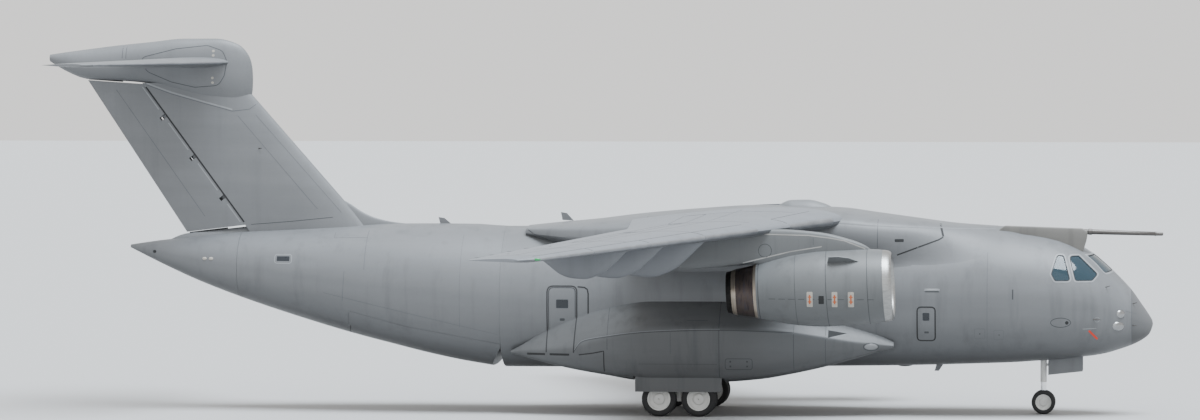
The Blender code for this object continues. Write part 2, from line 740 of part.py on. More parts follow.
def tail_piece(name, rows, place, spans, share, lean, spare=None):
    """A flap, aileron, elevator or rudder between its span stations, or the space that it needs."""
    inner = [row[0] for row in rows if spans[0] < row[0] < spans[1]]
    along = [spans[0]] + inner + [spans[1]]
    return loft(name, [tail_piece_ring(rows, place, span, share, lean, spare) for span in along])


def hang(fixed, moving, start, end, shares, radius):
    """Hinge lugs on the fixed piece, in notches of the moving piece that a pin bridges."""
    axis = (end - start).normalized()
    ahead = axis.cross(Vector((1.0, 0.0, 0.0))).cross(axis).normalized()
    notch, lug = radius * 1.12 + 0.02, max(radius * 0.55, PIN * 1.9)
    for share in shares:
        middle = start.lerp(end, share)
        low, high = middle - axis * LUG_HALF, middle + axis * LUG_HALF
        cut(moving, rod("cutter", low - axis * 0.01, high + axis * 0.01, notch, 10))
        join(moving, rod("tool", low - axis * 0.05, high + axis * 0.05, PIN, PIN_SIDES))
        eye = rod("eye", low, high, lug, 10)
        arm = rod("arm", middle + ahead * lug * 0.3, middle + ahead * (radius * 1.3 + 0.08), LUG_HALF * 0.9, 6)
        join(eye, arm)
        bore = rod("cutter", low - axis * 0.2, high + axis * 0.2, PIN_BORE, PIN_SIDES)
        join(fixed, cut(eye, bore))


def track(name, place, row):
    """One flap track fairing under the wing, as a spindle that leans with the chord."""
    span, ahead, behind, deep, half = row
    _, trail, height, _ = between(WING, span)
    front, aft = trail + ahead, trail - behind
    rings = []
    # Share of the length, share of the width, drop of the middle, share of the depth
    for along, wide, drop, tall in ((0.0, 0.15, 0.10, 0.2), (0.15, 0.7, 0.20, 0.6), (0.4, 1.0, 0.34, 1.0),
                                    (0.65, 0.9, 0.34, 0.95), (0.85, 0.55, 0.24, 0.6), (1.0, 0.1, 0.12, 0.15)):
        x = front + (aft - front) * along
        ring = []
        for step in range(8):
            angle = 2 * math.pi * (step + 0.5) / 8
            thick = -drop + deep / 2 * tall * math.sin(angle)
            ring.append(place(x, thick, span + half * wide * math.cos(angle), height))
        rings.append(ring)
    return loft(name, rings)


def build_wing(side, word):
    """One wing with its flap track fairings, flap and aileron."""
    place = wing_place(side)
    wing = loft(f"wing_{word}", [section_ring(WING, place, row[0]) for row in WING])
    flap_line = hinge_line(WING, place, WING_HINGE, (5.9, FLAP_SPAN[1]))
    flap = tail_piece(f"flap_{word}", WING, place, (FLAP_SPAN[0] + GAP, FLAP_SPAN[1] - GAP), WING_HINGE,
                      flap_line[2])
    cut(wing, tail_piece("cutter", WING, place, FLAP_SPAN, WING_HINGE, flap_line[2], GAP))
    start, end, lean = hinge_line(WING, place, WING_HINGE, AILERON_SPAN)
    inner = (AILERON_SPAN[0] + END_GAP, AILERON_SPAN[1] - END_GAP)
    aileron = tail_piece(f"aileron_{word}", WING, place, inner, WING_HINGE, lean)
    cut(wing, tail_piece("cutter", WING, place, AILERON_SPAN, WING_HINGE, lean, CLEAR + 0.004))
    for row in TRACKS:
        cut(flap, track("cutter", place, (row[0], row[1] + 0.01, row[2] + 0.01, row[3] + 0.01, row[4] + 0.01)))
        join(wing, track("tool", place, row))
    lead, trail, _, ratio = between(WING, sum(AILERON_SPAN) / 2)
    radius = ratio * (lead - trail) * half_thickness(WING_HINGE)
    hang(wing, aileron, start, end, (0.2, 0.8), radius)
    finish(wing, "grey_paint")
    finish(flap, "grey_paint")
    finish(pivot(aileron, start.lerp(end, 0.5)), "grey_paint")


def fairing_ring(x):
    """The wing fairing's section at x."""
    top, half, edge = between(FAIRING, x)
    side = [(half * wide, edge + (top - edge) * tall) for wide, tall in FAIRING_SHAPE]
    return [(x, y, z) for y, z in side] + [(x, -y, z) for y, z in reversed(side[:-1])]


def build_fairing():
    """Wing fairing with its dome, seated on the crown and round the wing roots."""
    fairing = loft("wing_fairing", [fairing_ring(row[0]) for row in FAIRING])
    rings = []
    for x, top, half in DOME:
        angles = [math.pi * step / 6 for step in range(7)]
        rings.append([(x, half * math.cos(a), 6.2 + (top - 6.2) * math.sin(a)) for a in angles])
    join(fairing, loft("tool", rings))
    cut(fairing, hull_solid("cutter", 14.0, -4.0, -GAP))
    for side in (1, -1):
        rings = [section_ring(WING, wing_place(side), span, GAP * 2) for span in (WING[0][0], WING[1][0])]
        rings[0] = [(x, y - side * GAP, z) for x, y, z in rings[0]]
        cut(fairing, loft("cutter", rings))
    finish(fairing, "grey_paint")


def build_tail():
    """Fin, rudder, bullet fairing, tailplane and elevators."""
    fin = loft("fin", [section_ring(FIN, fin_place, span) for span in FIN_ENDS])
    spans = (5.55, RUDDER_TOP)
    start, end, lean = hinge_line(FIN, fin_place, RUDDER_HINGE, spans)
    cut(fin, tail_piece("cutter", FIN, fin_place, (5.20, 10.45), RUDDER_HINGE, lean, CLEAR + 0.004))
    cut(fin, hull_solid("cutter", -4.0, -15.0, -GAP))
    rudder = tail_piece("rudder", FIN, fin_place, spans, RUDDER_HINGE, lean)
    (xa, za), (xb, zb) = RUDDER_FOOT
    slope = (zb - za) / (xb - xa)
    foot = ((xa + 1.5, za + 1.5 * slope), (xb - 1.0, zb - slope), (xb - 1.0, 5.0), (xa + 1.5, 5.0))
    cut(rudder, prism("cutter", foot, "y", -1.0, 1.0))
    lead, trail, _, ratio = between(FIN, 8.0)
    hang(fin, rudder, start, end, (0.25, 0.52, 0.79), ratio * (lead - trail) * half_thickness(RUDDER_HINGE))
    finish(pivot(rudder, start.lerp(end, 0.5)), "grey_paint")

    bullet_rings = []
    for x, top, bottom, half in BULLET:
        ring = []
        for step in range(BULLET_SIDES):
            angle = 2 * math.pi * step / BULLET_SIDES
            ring.append((x, half * math.cos(angle), (top + bottom) / 2 + (top - bottom) / 2 * math.sin(angle)))
        bullet_rings.append(ring)
    bullet = loft("tail_bullet", bullet_rings)
    seat = [section_ring(FIN, fin_place, span, GAP * 2) for span in FIN_ENDS]
    seat[1] = [(x, y, z + GAP) for x, y, z in seat[1]]
    cut(bullet, loft("cutter", seat))
    rows = [(-row[0], *row[1:]) for row in reversed(TAILPLANE)] + list(TAILPLANE[1:])
    place = wing_place(1)
    cut(bullet, loft("cutter", [section_ring(rows, place, row[0], GAP * 2) for row in rows]))
    finish(bullet, "grey_paint")

    tailplane = loft("tailplane", [section_ring(rows, place, row[0]) for row in rows])
    for side, word in ((1, "left"), (-1, "right")):
        place = wing_place(side)
        start, end, lean = hinge_line(TAILPLANE, place, ELEVATOR_HINGE, ELEVATOR_SPAN)
        inner = (ELEVATOR_SPAN[0] + END_GAP, ELEVATOR_SPAN[1] - END_GAP)
        elevator = tail_piece(f"elevator_{word}", TAILPLANE, place, inner, ELEVATOR_HINGE, lean)
        cut(tailplane, tail_piece("cutter", TAILPLANE, place, ELEVATOR_SPAN, ELEVATOR_HINGE, lean,
                                  CLEAR + 0.004))
        lead, trail, _, ratio = between(TAILPLANE, sum(ELEVATOR_SPAN) / 2)
        radius = ratio * (lead - trail) * half_thickness(ELEVATOR_HINGE)
        hang(tailplane, elevator, start, end, (0.2, 0.8), radius)
        finish(pivot(elevator, start.lerp(end, 0.5)), "grey_paint")
    finish(fin, "grey_paint")
    finish(tailplane, "grey_paint")


# Engines


def engine_frame(side):
    """From an engine's own axis, with distances behind the lip along -x, to the aircraft."""
    x, y, z = ENGINE_LIP
    return Matrix.Translation((x, side * y, z)) @ Matrix.Rotation(-ENGINE_TILT, 4, "Y")


def backwards(outline, grow=0.0):
    """An outline with its distances turned to point aft."""
    return [(-along, radius + grow) for along, radius in outline]


def to_engine(obj, side):
    """Carry a piece from the engine's own axis to the aircraft."""
    obj.data.transform(engine_frame(side))
    return obj


def blade(angle):
    """One twisted fan blade from inside the hub to its tip."""
    rings = []
    for reach, chord, stagger in (BLADE_ROOT, BLADE_TIP):
        ring = []
        for along, across in ((-1, -1), (1, -1), (1, 1), (-1, 1)):
            a, t = along * chord / 2, across * BLADE_THICK / 2
            x = a * math.cos(stagger) - t * math.sin(stagger)
            y = a * math.sin(stagger) + t * math.cos(stagger)
            ring.append(Matrix.Rotation(angle, 3, "X") @ Vector((x - BLADE_AT, y, reach)))
        rings.append(ring)
    return loft("blade", rings)


def build_engine(side, word):
    """One engine: cowl, nozzle, core block with its vanes, fan, and the pylon that holds it."""
    cowl = to_engine(turned(f"nacelle_{word}", backwards(COWL), ENGINE_SIDES, closed=True, phase=0.5), side)
    finish(cowl, "grey_paint")
    nozzle = turned(f"exhaust_nozzle_{word}", backwards(NOZZLE), ENGINE_SIDES, closed=True, phase=0.5)
    finish(to_engine(nozzle, side), "dark_metal")

    core = turned(f"engine_core_{word}", backwards(CORE), ENGINE_SIDES, phase=0.5)
    depth, bore = CORE_BORE
    cut(core, turned("cutter", ((-depth, bore), (-1.0, bore)), ENGINE_SIDES, phase=0.5))
    reach = VANE_WALL * math.cos(math.pi / ENGINE_SIDES) - GAP
    front, back, half = VANE
    for turn in (0.0, math.pi / 2):
        vane = block("vane", (-back, -reach, -half), (-front, reach, half))
        vane.data.transform(Matrix.Rotation(turn, 4, "X"))
        join(core, vane)
    finish(to_engine(core, side), "dark_metal")

    fan = turned(f"fan_{word}", backwards(FAN_SHAFT), ENGINE_SIDES, phase=0.5)
    for number in range(BLADES):
        join(fan, blade(2 * math.pi * number / BLADES))
    fan = to_engine(fan, side)
    finish(pivot(fan, engine_frame(side) @ Vector((-BLADE_AT, 0.0, 0.0))), "bright_metal")

    x, y, z = ENGINE_LIP
    low, high = sorted((side * (y - PYLON_HALF), side * (y + PYLON_HALF)))
    pylon = prism(f"pylon_{word}", PYLON, "y", low, high)
    shell = list(backwards(COWL[:COWL_OUTER], GAP)) + list(backwards(NOZZLE[1:3], GAP))
    shell[0] = (0.01, shell[0][1])
    cut(pylon, to_engine(turned("cutter", shell, ENGINE_SIDES, phase=0.5), side))
    cut(pylon, loft("cutter", [section_ring(WING, wing_place(side), row[0], GAP * 2) for row in WING]))
    finish(pylon, "grey_paint")


# Sponsons and landing gear


def sponson_ring(x, side):
    """The sponson's section: a sloping shoulder to the fold, then a full side and a flat bottom."""
    upper, fold, bottom, half = between(SPONSON, x)
    edge = min(2.12, half - 0.06)
    size = (half - SPONSON_INNER) / 1.85
    outline = [(SPONSON_INNER, upper), (edge, upper)]
    outline += [(edge + (half - edge) * a, upper - (upper - fold) * b) for a, b in ((0.45, 0.32), (0.80, 0.68))]
    outline += [(half, fold)]
    # How far in from the widest point, and the share of the way down
    for inward, down in ((0.03, 0.35), (0.13, 0.70), (0.34, 0.92), (0.75, 1.0)):
        outline.append((half - inward * size, fold - (fold - bottom) * down))
    outline.append((SPONSON_INNER, bottom + 0.06))
    return [(x, side * y, z) for y, z in outline]


def sponson_solid(name, side):
    """The sponson before anything is cut from it."""
    return loft(name, [sponson_ring(row[0], side) for row in SPONSON])


def build_sponson(side, word):
    """One sponson with its wheel well, and the paratroop door that crosses its tail."""
    sponson = sponson_solid(f"sponson_{word}", side)
    cut(sponson, hull_solid("cutter", 13.0, -5.0, -GAP))
    near, far = sorted((side * WELL_Y[0], side * WELL_Y[1]))
    cut(sponson, block("cutter", (WELL_X[0], near, 0.5), (WELL_X[1], far, WELL_TOP)))
    cut(sponson, troop_space(side, 0.0))
    finish(sponson, "grey_paint")

    door = hull_solid(f"paratroop_door_{word}", 2.0, CENTRE_AFT, 0.0)
    join(door, sponson_solid("tool", side))
    within(door, troop_space(side, GAP))
    cut(door, hull_solid("cutter", 3.0, CENTRE_AFT - 0.5, WALL))
    finish(door, "grey_paint")


def twin_wheel(name, outline, tyre, sides):
    """Two wheels on one axle, turned about y, with a flat facet on the ground."""
    grow = 1.0 / math.cos(math.pi / sides)
    profile = [(-along, radius) for along, radius in reversed(outline)] + list(outline)
    profile = [(along, radius * grow if radius > 0.8 * tyre else radius) for along, radius in profile]
    wheel = turned(name, profile, sides, phase=0.5)
    wheel.data.transform(Matrix.Rotation(math.pi / 2, 4, "Z"))
    return wheel


def build_main_gear(side, word):
    """Main leg with its bogie beam, two twin wheels and the door that hangs open beside them."""
    y = side * GEAR_Y
    leg = rod(f"main_gear_leg_{word}", (GEAR_X, y, MAIN_TYRE), (GEAR_X, y, WELL_TOP - GAP), STRUT, 16)
    long, wide, tall = BOGIE_HALF
    join(leg, block("beam", (GEAR_X - long, y - wide, MAIN_TYRE - tall), (GEAR_X + long, y + wide, MAIN_TYRE + tall)))
    join(leg, rod("brace", (GEAR_X + 0.1, y, 1.15), (GEAR_X + 0.93, y, WELL_TOP - 0.07), 0.06, 8))
    join(leg, block("foot", (GEAR_X + 0.82, y - 0.1, WELL_TOP - 0.1), (GEAR_X + 1.08, y + 0.1, WELL_TOP - GAP)))
    for offset in MAIN_AXLES:
        x = GEAR_X + offset
        join(leg, rod("boss", (x, y - wide - 0.01, MAIN_TYRE), (x, y + wide + 0.01, MAIN_TYRE), BOSS, 12))
    for offset in MAIN_AXLES:
        x = GEAR_X + offset
        bore = turned("cutter", ((-0.5, MAIN_BORE), (0.5, MAIN_BORE)), WHEEL_SIDES)
        bore.data.transform(Matrix.Translation((x, y, MAIN_TYRE)) @ Matrix.Rotation(math.pi / 2, 4, "Z"))
        cut(leg, bore)
    finish(leg, "white_paint")
    for offset, place in zip(MAIN_AXLES, ("front", "rear")):
        wheels = twin_wheel(f"main_wheels_{place}_{word}", MAIN_WHEEL, MAIN_TYRE, WHEEL_SIDES)
        wheels.location = (GEAR_X + offset, y, MAIN_TYRE)
        finish(wheels, "rubber")
    front, aft, low, high = MAIN_DOOR[1], MAIN_DOOR[0], MAIN_DOOR[2], MAIN_DOOR[3]
    near, far = sorted((side * (WELL_Y[1] - GAP), side * (WELL_Y[1] - GAP - DOOR_THICK)))
    finish(block(f"main_gear_door_{word}", (aft, near, low), (front, far, high)), "grey_paint")


def build_nose_gear():
    """Nose leg with its cross beam, steering fork, twin wheels and two doors."""
    half = NOSE_WELL_HALF - GAP
    leg = rod("nose_gear_leg", (NOSE_X, 0.0, NOSE_LEG_FOOT), (NOSE_X, 0.0, NOSE_BEAM_Z + 0.15), NOSE_STRUT, 16)
    join(leg, rod("beam", (NOSE_X, -half, NOSE_BEAM_Z), (NOSE_X, half, NOSE_BEAM_Z), 0.06, 12))
    join(leg, rod("brace", (NOSE_X, 0.0, 1.50), (NOSE_WELL[1] - 0.10, 0.0, 1.935), 0.04, 8))
    front = NOSE_WELL[1] - 0.06
    join(leg, block("foot", (front - 0.08, -half, 1.905), (front, half, 1.99)))
    cut(leg, rod("cutter", (NOSE_X, 0.0, 0.5), (NOSE_X, 0.0, 1.35), NOSE_PISTON_BORE, 16))
    finish(leg, "white_paint")

    fork = rod("nose_gear_fork", (NOSE_X, 0.0, NOSE_TYRE - 0.03), (NOSE_X, 0.0, 1.34), NOSE_PISTON, 16)
    join(fork, rod("collar", (NOSE_X, 0.0, 0.75), (NOSE_X, 0.0, NOSE_LEG_FOOT - GAP), 0.09, 16))
    join(fork, rod("boss", (NOSE_X, -0.065, NOSE_TYRE), (NOSE_X, 0.065, NOSE_TYRE), 0.085, 12))
    bore = turned("cutter", ((-0.5, NOSE_BORE), (0.5, NOSE_BORE)), WHEEL_SIDES)
    bore.data.transform(Matrix.Translation((NOSE_X, 0.0, NOSE_TYRE)) @ Matrix.Rotation(math.pi / 2, 4, "Z"))
    cut(fork, bore)
    finish(pivot(fork, (NOSE_X, 0.0, NOSE_TYRE)), "white_paint")

    wheels = twin_wheel("nose_wheels", NOSE_WHEEL, NOSE_TYRE, WHEEL_SIDES)
    wheels.location = (NOSE_X, 0.0, NOSE_TYRE)
    finish(wheels, "rubber")
    for side, word in ((1, "left"), (-1, "right")):
        near, far = sorted((side * half, side * (half - DOOR_THICK)))
        finish(prism(f"nose_gear_door_{word}", NOSE_DOOR, "y", near, far), "grey_paint")


def build_probe():
    """Refuelling probe in its fairing."""
    low, high = PROBE_Y - PROBE_HALF, PROBE_Y + PROBE_HALF
    probe = prism("refuelling_probe", PROBE_FAIRING, "y", low, high)
    cut(probe, hull_solid("cutter", 17.0, 12.0, -GAP))
    start, end = (PROBE_ROOT[0], PROBE_Y, PROBE_ROOT[1]), (PROBE_TIP[0], PROBE_Y, PROBE_TIP[1])
    join(probe, rod("tool", start, end, PROBE_RADIUS, 12))
    finish(probe, "grey_paint")


def main():
    """Clear the scene and build the aircraft."""
    for obj in list(bpy.data.objects):
        bpy.data.objects.remove(obj)
    build_nose()
    build_barrels()
    build_tail_section()
    build_ramp()
    build_cargo_door()
    build_floor()
    build_flight_deck()
    build_fairing()
    build_tail()
    build_nose_gear()
    build_probe()
    for side, word in ((1, "left"), (-1, "right")):
        build_wing(side, word)
        build_engine(side, word)
        build_sponson(side, word)
        build_main_gear(side, word)


main()
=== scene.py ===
# %% [markdown]
# # A military transport plane
# The real machine is a twin jet with a high swept wing, a T-tail and a loading ramp, all in one matte
# grey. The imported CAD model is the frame: it says where each piece is and what it turns about. This
# notebook dresses that frame piece by piece, in metres, with +X forward and +Z up.

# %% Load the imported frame
import math

import bmesh
import bpy
import numpy as np
from mathutils import Matrix, Vector
from mathutils.bvhtree import BVHTree


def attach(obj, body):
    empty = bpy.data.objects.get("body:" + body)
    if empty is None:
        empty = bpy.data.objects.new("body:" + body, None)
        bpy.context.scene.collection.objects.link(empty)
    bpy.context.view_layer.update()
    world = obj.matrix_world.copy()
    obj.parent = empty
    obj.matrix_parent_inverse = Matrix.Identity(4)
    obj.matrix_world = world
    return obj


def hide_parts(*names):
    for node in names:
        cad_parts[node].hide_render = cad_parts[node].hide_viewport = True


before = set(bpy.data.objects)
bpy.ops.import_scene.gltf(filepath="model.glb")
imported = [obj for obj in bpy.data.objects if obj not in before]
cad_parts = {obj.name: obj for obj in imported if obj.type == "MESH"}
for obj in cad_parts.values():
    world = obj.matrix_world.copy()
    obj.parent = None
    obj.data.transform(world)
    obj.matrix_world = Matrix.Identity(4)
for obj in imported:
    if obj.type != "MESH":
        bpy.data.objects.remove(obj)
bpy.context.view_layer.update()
SIDES = ((1, "left"), (-1, "right"))

# %% [markdown]
# ## Camera
# The photograph was taken from far away with a long lens, a few degrees ahead of the right wing tip. A
# long lens keeps parallel lines parallel. The camera looks down a little, so it needs no lens shift.

# %% Camera
LENS, SENSOR, FAR_CLIP = 151.2, 36.0, 2000.0
CAMERA_PLACE, TURN, DOWN = (18.11, -158.97, 10.81), math.radians(6.5), math.radians(1.59)
lens = bpy.data.cameras.new("long_lens")
lens.lens, lens.sensor_width, lens.clip_end = LENS, SENSOR, FAR_CLIP
camera = bpy.data.objects.new("camera", lens)
camera.location = CAMERA_PLACE
camera.rotation_euler = (math.pi / 2 - DOWN, 0.0, TURN)
bpy.context.scene.collection.objects.link(camera)
bpy.context.scene.camera = camera
print("camera at", tuple(camera.location))

# %% [markdown]
# ## Stage
# A pale floor and a pale sky are the studio. Two broad, slightly blue lamps stand for the bright sky, a
# strong one above and a weak one low on the camera's side, so the crown is light and the sides and belly
# fall into soft shade, as on the real aircraft in flight. The floor's grey is close to the sky's where
# they meet, which keeps the horizon faint.

# %% Floor, sky and lamps
FLOOR_HALF, FLOOR_DROP = 600.0, 0.004
FLOOR_COLOUR, FLOOR_ROUGHNESS = (0.42, 0.42, 0.42, 1.0), 0.9
SKY_COLOUR, SKY_STRENGTH = (1.0, 0.99, 0.975, 1.0), 1.15
# Strength, softness in degrees, and direction
SUNS = (
    (7.2, 38.0, (math.radians(17), 0.0, math.radians(55))),
    (0.5, 60.0, (math.radians(60), 0.0, math.radians(10))),
)
LAMP_COLOUR = (0.84, 0.92, 1.0)
corners = [(-1, -1), (1, -1), (1, 1), (-1, 1)]
floor_mesh = bpy.data.meshes.new("floor")
floor_points = [(x * FLOOR_HALF, y * FLOOR_HALF, -FLOOR_DROP) for x, y in corners]
floor_mesh.from_pydata(floor_points, [], [(0, 1, 2, 3)])
floor = bpy.data.objects.new("floor", floor_mesh)
bpy.context.scene.collection.objects.link(floor)
floor_paint = bpy.data.materials.new("pale_floor")
floor_paint.use_nodes = True
floor_shader = floor_paint.node_tree.nodes["Principled BSDF"]
floor_shader.inputs["Base Color"].default_value = FLOOR_COLOUR
floor_shader.inputs["Roughness"].default_value = FLOOR_ROUGHNESS
floor.data.materials.append(floor_paint)

world = bpy.data.worlds.new("studio")
world.use_nodes = True
world.node_tree.nodes["Background"].inputs["Color"].default_value = SKY_COLOUR
world.node_tree.nodes["Background"].inputs["Strength"].default_value = SKY_STRENGTH
bpy.context.scene.world = world
for number, (power, softness, turn) in enumerate(SUNS):
    lamp = bpy.data.lights.new(f"sky_lamp_{number}", "SUN")
    lamp.energy, lamp.angle, lamp.color = power, math.radians(softness), LAMP_COLOUR
    holder = bpy.data.objects.new(f"sky_lamp_{number}", lamp)
    holder.rotation_euler = turn
    bpy.context.scene.collection.objects.link(holder)
print("lamps", len(SUNS))

# %% [markdown]
# ## Shared effects
# Paint on a working aircraft is never one flat tone. Broad mottling, streaks drawn out by the airflow
# and grime that runs down are noise patterns at different scales. Faces that look down are also
# darkened, which is painted shade on the belly. One node group makes all four, and each paint places it
# with its own values.

# %% Node helpers


def group(name, inputs, outputs):
    """A new shader node group with named sockets, and its two end nodes."""
    tree = bpy.data.node_groups.new(name, "ShaderNodeTree")
    for label, kind, value in inputs:
        socket = tree.interface.new_socket(label, in_out="INPUT", socket_type="NodeSocket" + kind)
        socket.default_value = value
    for label, kind in outputs:
        tree.interface.new_socket(label, in_out="OUTPUT", socket_type="NodeSocket" + kind)
    return tree, tree.nodes.new("NodeGroupInput"), tree.nodes.new("NodeGroupOutput")


def add(tree, kind, wires=(), **values):
    """Add a node, set its properties, then fill its inputs with wires or plain values."""
    made = tree.nodes.new(kind)
    for key, value in values.items():
        setattr(made, key, value)
    for label, source in wires:
        if isinstance(source, bpy.types.NodeSocket):
            tree.links.new(source, made.inputs[label])
        else:
            made.inputs[label].default_value = source
    return made


def reckon(tree, operation, a, b):
    """One step of arithmetic between sockets or values."""
    return add(tree, "ShaderNodeMath", ((0, a), (1, b)), operation=operation).outputs[0]


def product(tree, *factors):
    """Multiply several sockets."""
    total = factors[0]
    for factor in factors[1:]:
        total = reckon(tree, "MULTIPLY", total, factor)
    return total


# Noise stays close to 0.5, so it is spread out to reach the whole amount
NOISE_REACH = 3.0


def around_one(tree, noise, amount):
    """Turn a noise of 0 to 1 into a factor of about one plus or minus the amount."""
    centred = reckon(tree, "SUBTRACT", noise, 0.5)
    return reckon(tree, "ADD", product(tree, centred, amount, NOISE_REACH), 1.0)


def pattern(tree, place, stretch, scale, detail=4.0):
    """Noise in the piece's own space, stretched along its axes."""
    moved = add(tree, "ShaderNodeMapping", (("Vector", place), ("Scale", stretch))).outputs[0]
    wires = (("Vector", moved), ("Scale", scale), ("Detail", detail), ("Roughness", 0.6))
    return add(tree, "ShaderNodeTexNoise", wires).outputs[0]


# %% Weathered skin group with painted belly shade
skin, skin_in, skin_out = group(
    "weathered_skin",
    (("Colour", "Color", (0.3, 0.3, 0.3, 1.0)), ("Mottle", "Float", 0.05), ("Streak", "Float", 0.05),
     ("Grime", "Float", 0.15), ("Belly", "Float", 0.2), ("Roughness", "Float", 0.5)),
    (("Colour", "Color"), ("Roughness", "Float"), ("Height", "Float")),
)
PEBBLE = 0.03
where = add(skin, "ShaderNodeTexCoord").outputs["Object"]
broad = pattern(skin, where, (1.0, 1.0, 1.0), 0.45, 6.0)
drawn_out = pattern(skin, where, (0.12, 1.6, 1.6), 1.0, 8.0)
running = pattern(skin, where, (2.2, 2.2, 0.16), 1.0, 8.0)
speckle = pattern(skin, where, (1.0, 1.0, 1.0), 14.0, 8.0)


def ramp_up(value, low, high):
    """From 0 at low to 1 at high."""
    wires = (("Value", value), ("From Min", low), ("From Max", high))
    return add(skin, "ShaderNodeMapRange", wires).outputs[0]


grimy = product(skin, ramp_up(running, 0.52, 0.75), skin_in.outputs["Grime"])
# Faces that look down are darkened here, which is painted shade on the belly and the lower sides.
normal = add(skin, "ShaderNodeNewGeometry").outputs["Normal"]
facing = add(skin, "ShaderNodeSeparateXYZ", (("Vector", normal),))
belly = product(skin, ramp_up(facing.outputs["Z"], 0.1, -0.95), skin_in.outputs["Belly"])
tone = product(
    skin,
    around_one(skin, broad, skin_in.outputs["Mottle"]),
    around_one(skin, drawn_out, skin_in.outputs["Streak"]),
    around_one(skin, speckle, PEBBLE),
    reckon(skin, "SUBTRACT", 1.0, grimy),
    reckon(skin, "SUBTRACT", 1.0, belly),
)
toned = add(skin, "ShaderNodeVectorMath", ((0, skin_in.outputs["Colour"]), (1, tone)), operation="MULTIPLY")
skin.links.new(toned.outputs[0], skin_out.inputs["Colour"])
rough = reckon(skin, "ADD", product(skin, speckle, 0.12), skin_in.outputs["Roughness"])
skin.links.new(rough, skin_out.inputs["Roughness"])
skin.links.new(product(skin, speckle, 1.0), skin_out.inputs["Height"])
print("group", skin.name, "with", len(skin.nodes), "nodes")

# %% [markdown]
# ## Finishes
# Every grey here is the same paint seen on different panels. The radome and the sponsons are given a
# darker grey than the hull, which is painted shade: the lower radome and the sponsons under the wing lie
# in shade. The wings come out a little lighter and bluer. Bare metal is brushed along its length, and the
# hot nozzle has the brown and blue tints that heat leaves.

# %% Paints
RELIEF_DEPTH = 0.002


def painted(name, colour, mottle=0.05, streak=0.05, grime=0.12, belly=0.22, roughness=0.42, metallic=0.0,
            bump=0.15):
    """A weathered paint, darkened on faces that look down as painted shade."""
    surface = bpy.data.materials.new(name)
    surface.use_nodes = True
    tree = surface.node_tree
    shader = tree.nodes["Principled BSDF"]
    wires = (("Colour", (*colour, 1.0)), ("Mottle", mottle), ("Streak", streak), ("Grime", grime),
             ("Belly", belly), ("Roughness", roughness))
    wear = tree.nodes.new("ShaderNodeGroup")
    wear.node_tree = skin
    for label, value in wires:
        wear.inputs[label].default_value = value
    tree.links.new(wear.outputs["Colour"], shader.inputs["Base Color"])
    tree.links.new(wear.outputs["Roughness"], shader.inputs["Roughness"])
    wires = (("Height", wear.outputs["Height"]), ("Strength", bump), ("Distance", RELIEF_DEPTH))
    tree.links.new(add(tree, "ShaderNodeBump", wires).outputs["Normal"], shader.inputs["Normal"])
    shader.inputs["Metallic"].default_value = metallic
    return surface


# Each paint's belly value is how much painted shade darkens its faces that look down.
HULL_GREY = painted("hull_grey", (0.138, 0.144, 0.151), mottle=0.09, streak=0.10, grime=0.22, belly=0.50)
WING_GREY = painted("wing_grey", (0.162, 0.172, 0.187), mottle=0.06, streak=0.06, belly=0.45)
TAIL_GREY = painted("tail_grey", (0.150, 0.156, 0.163), mottle=0.09, streak=0.12, belly=0.35)
COWL_GREY = painted("cowl_grey", (0.112, 0.118, 0.121), mottle=0.07, grime=0.25, belly=0.22)
# The radome's darker grey and its strong belly darkening are painted shade.
RADOME_GREY_SHADED = painted("radome_grey", (0.098, 0.101, 0.105), mottle=0.04, streak=0.03, belly=0.78,
                      roughness=0.45)
# The sponsons' dark grey is painted shade from the wing above them, and the main gear doors share it.
SPONSON_GREY_SHADED = painted("sponson_grey", (0.080, 0.083, 0.086), mottle=0.09, grime=0.30, streak=0.14,
                       belly=0.0)
PROBE_PAINT = painted("probe_paint", (0.150, 0.146, 0.136), mottle=0.12, streak=0.22, grime=0.35, belly=0.4)
SEAM_DARK = painted("seam_dark", (0.040, 0.043, 0.047), belly=0.0, roughness=0.6)
SEAM_SOFT = painted("seam_soft", (0.085, 0.090, 0.097), belly=0.0, roughness=0.6)
TRIM_PALE = painted("trim_pale", (0.235, 0.245, 0.255), grime=0.25, belly=0.1)
RUBBER_BLACK = painted("rubber_black", (0.018, 0.018, 0.019), roughness=0.7, mottle=0.2, bump=0.5)
# Vents, slots and inlets are near-black plates on the skin, and their colour is painted shade inside the
# openings.
OPENING_SHADE = painted("dark_gap", (0.020, 0.021, 0.022), roughness=0.8)
WHITE_PAINT = painted("gear_white", (0.62, 0.62, 0.60), grime=0.35, belly=0.0, roughness=0.35)
CABIN_GREY = painted("cabin_grey", (0.20, 0.215, 0.225), belly=0.0, roughness=0.6)
CABIN_DARK = painted("cabin_dark", (0.045, 0.048, 0.052), belly=0.0, roughness=0.6)
DECK_METAL = painted("deck_metal", (0.26, 0.27, 0.27), belly=0.0, roughness=0.45, metallic=0.6, grime=0.3)
SAFETY_RED = painted("strap_red", (0.55, 0.035, 0.015), belly=0.0, roughness=0.7)
LATCH_ORANGE = painted("latch_orange", (0.42, 0.095, 0.025), belly=0.0, roughness=0.5)
LATCH_WHITE = painted("latch_white", (0.36, 0.34, 0.30), belly=0.0, roughness=0.5, grime=0.4)
print("paints", len([m for m in bpy.data.materials if m.use_nodes]))

# %% Metals, glass and lamps


GRAIN_SCALE = 3.0


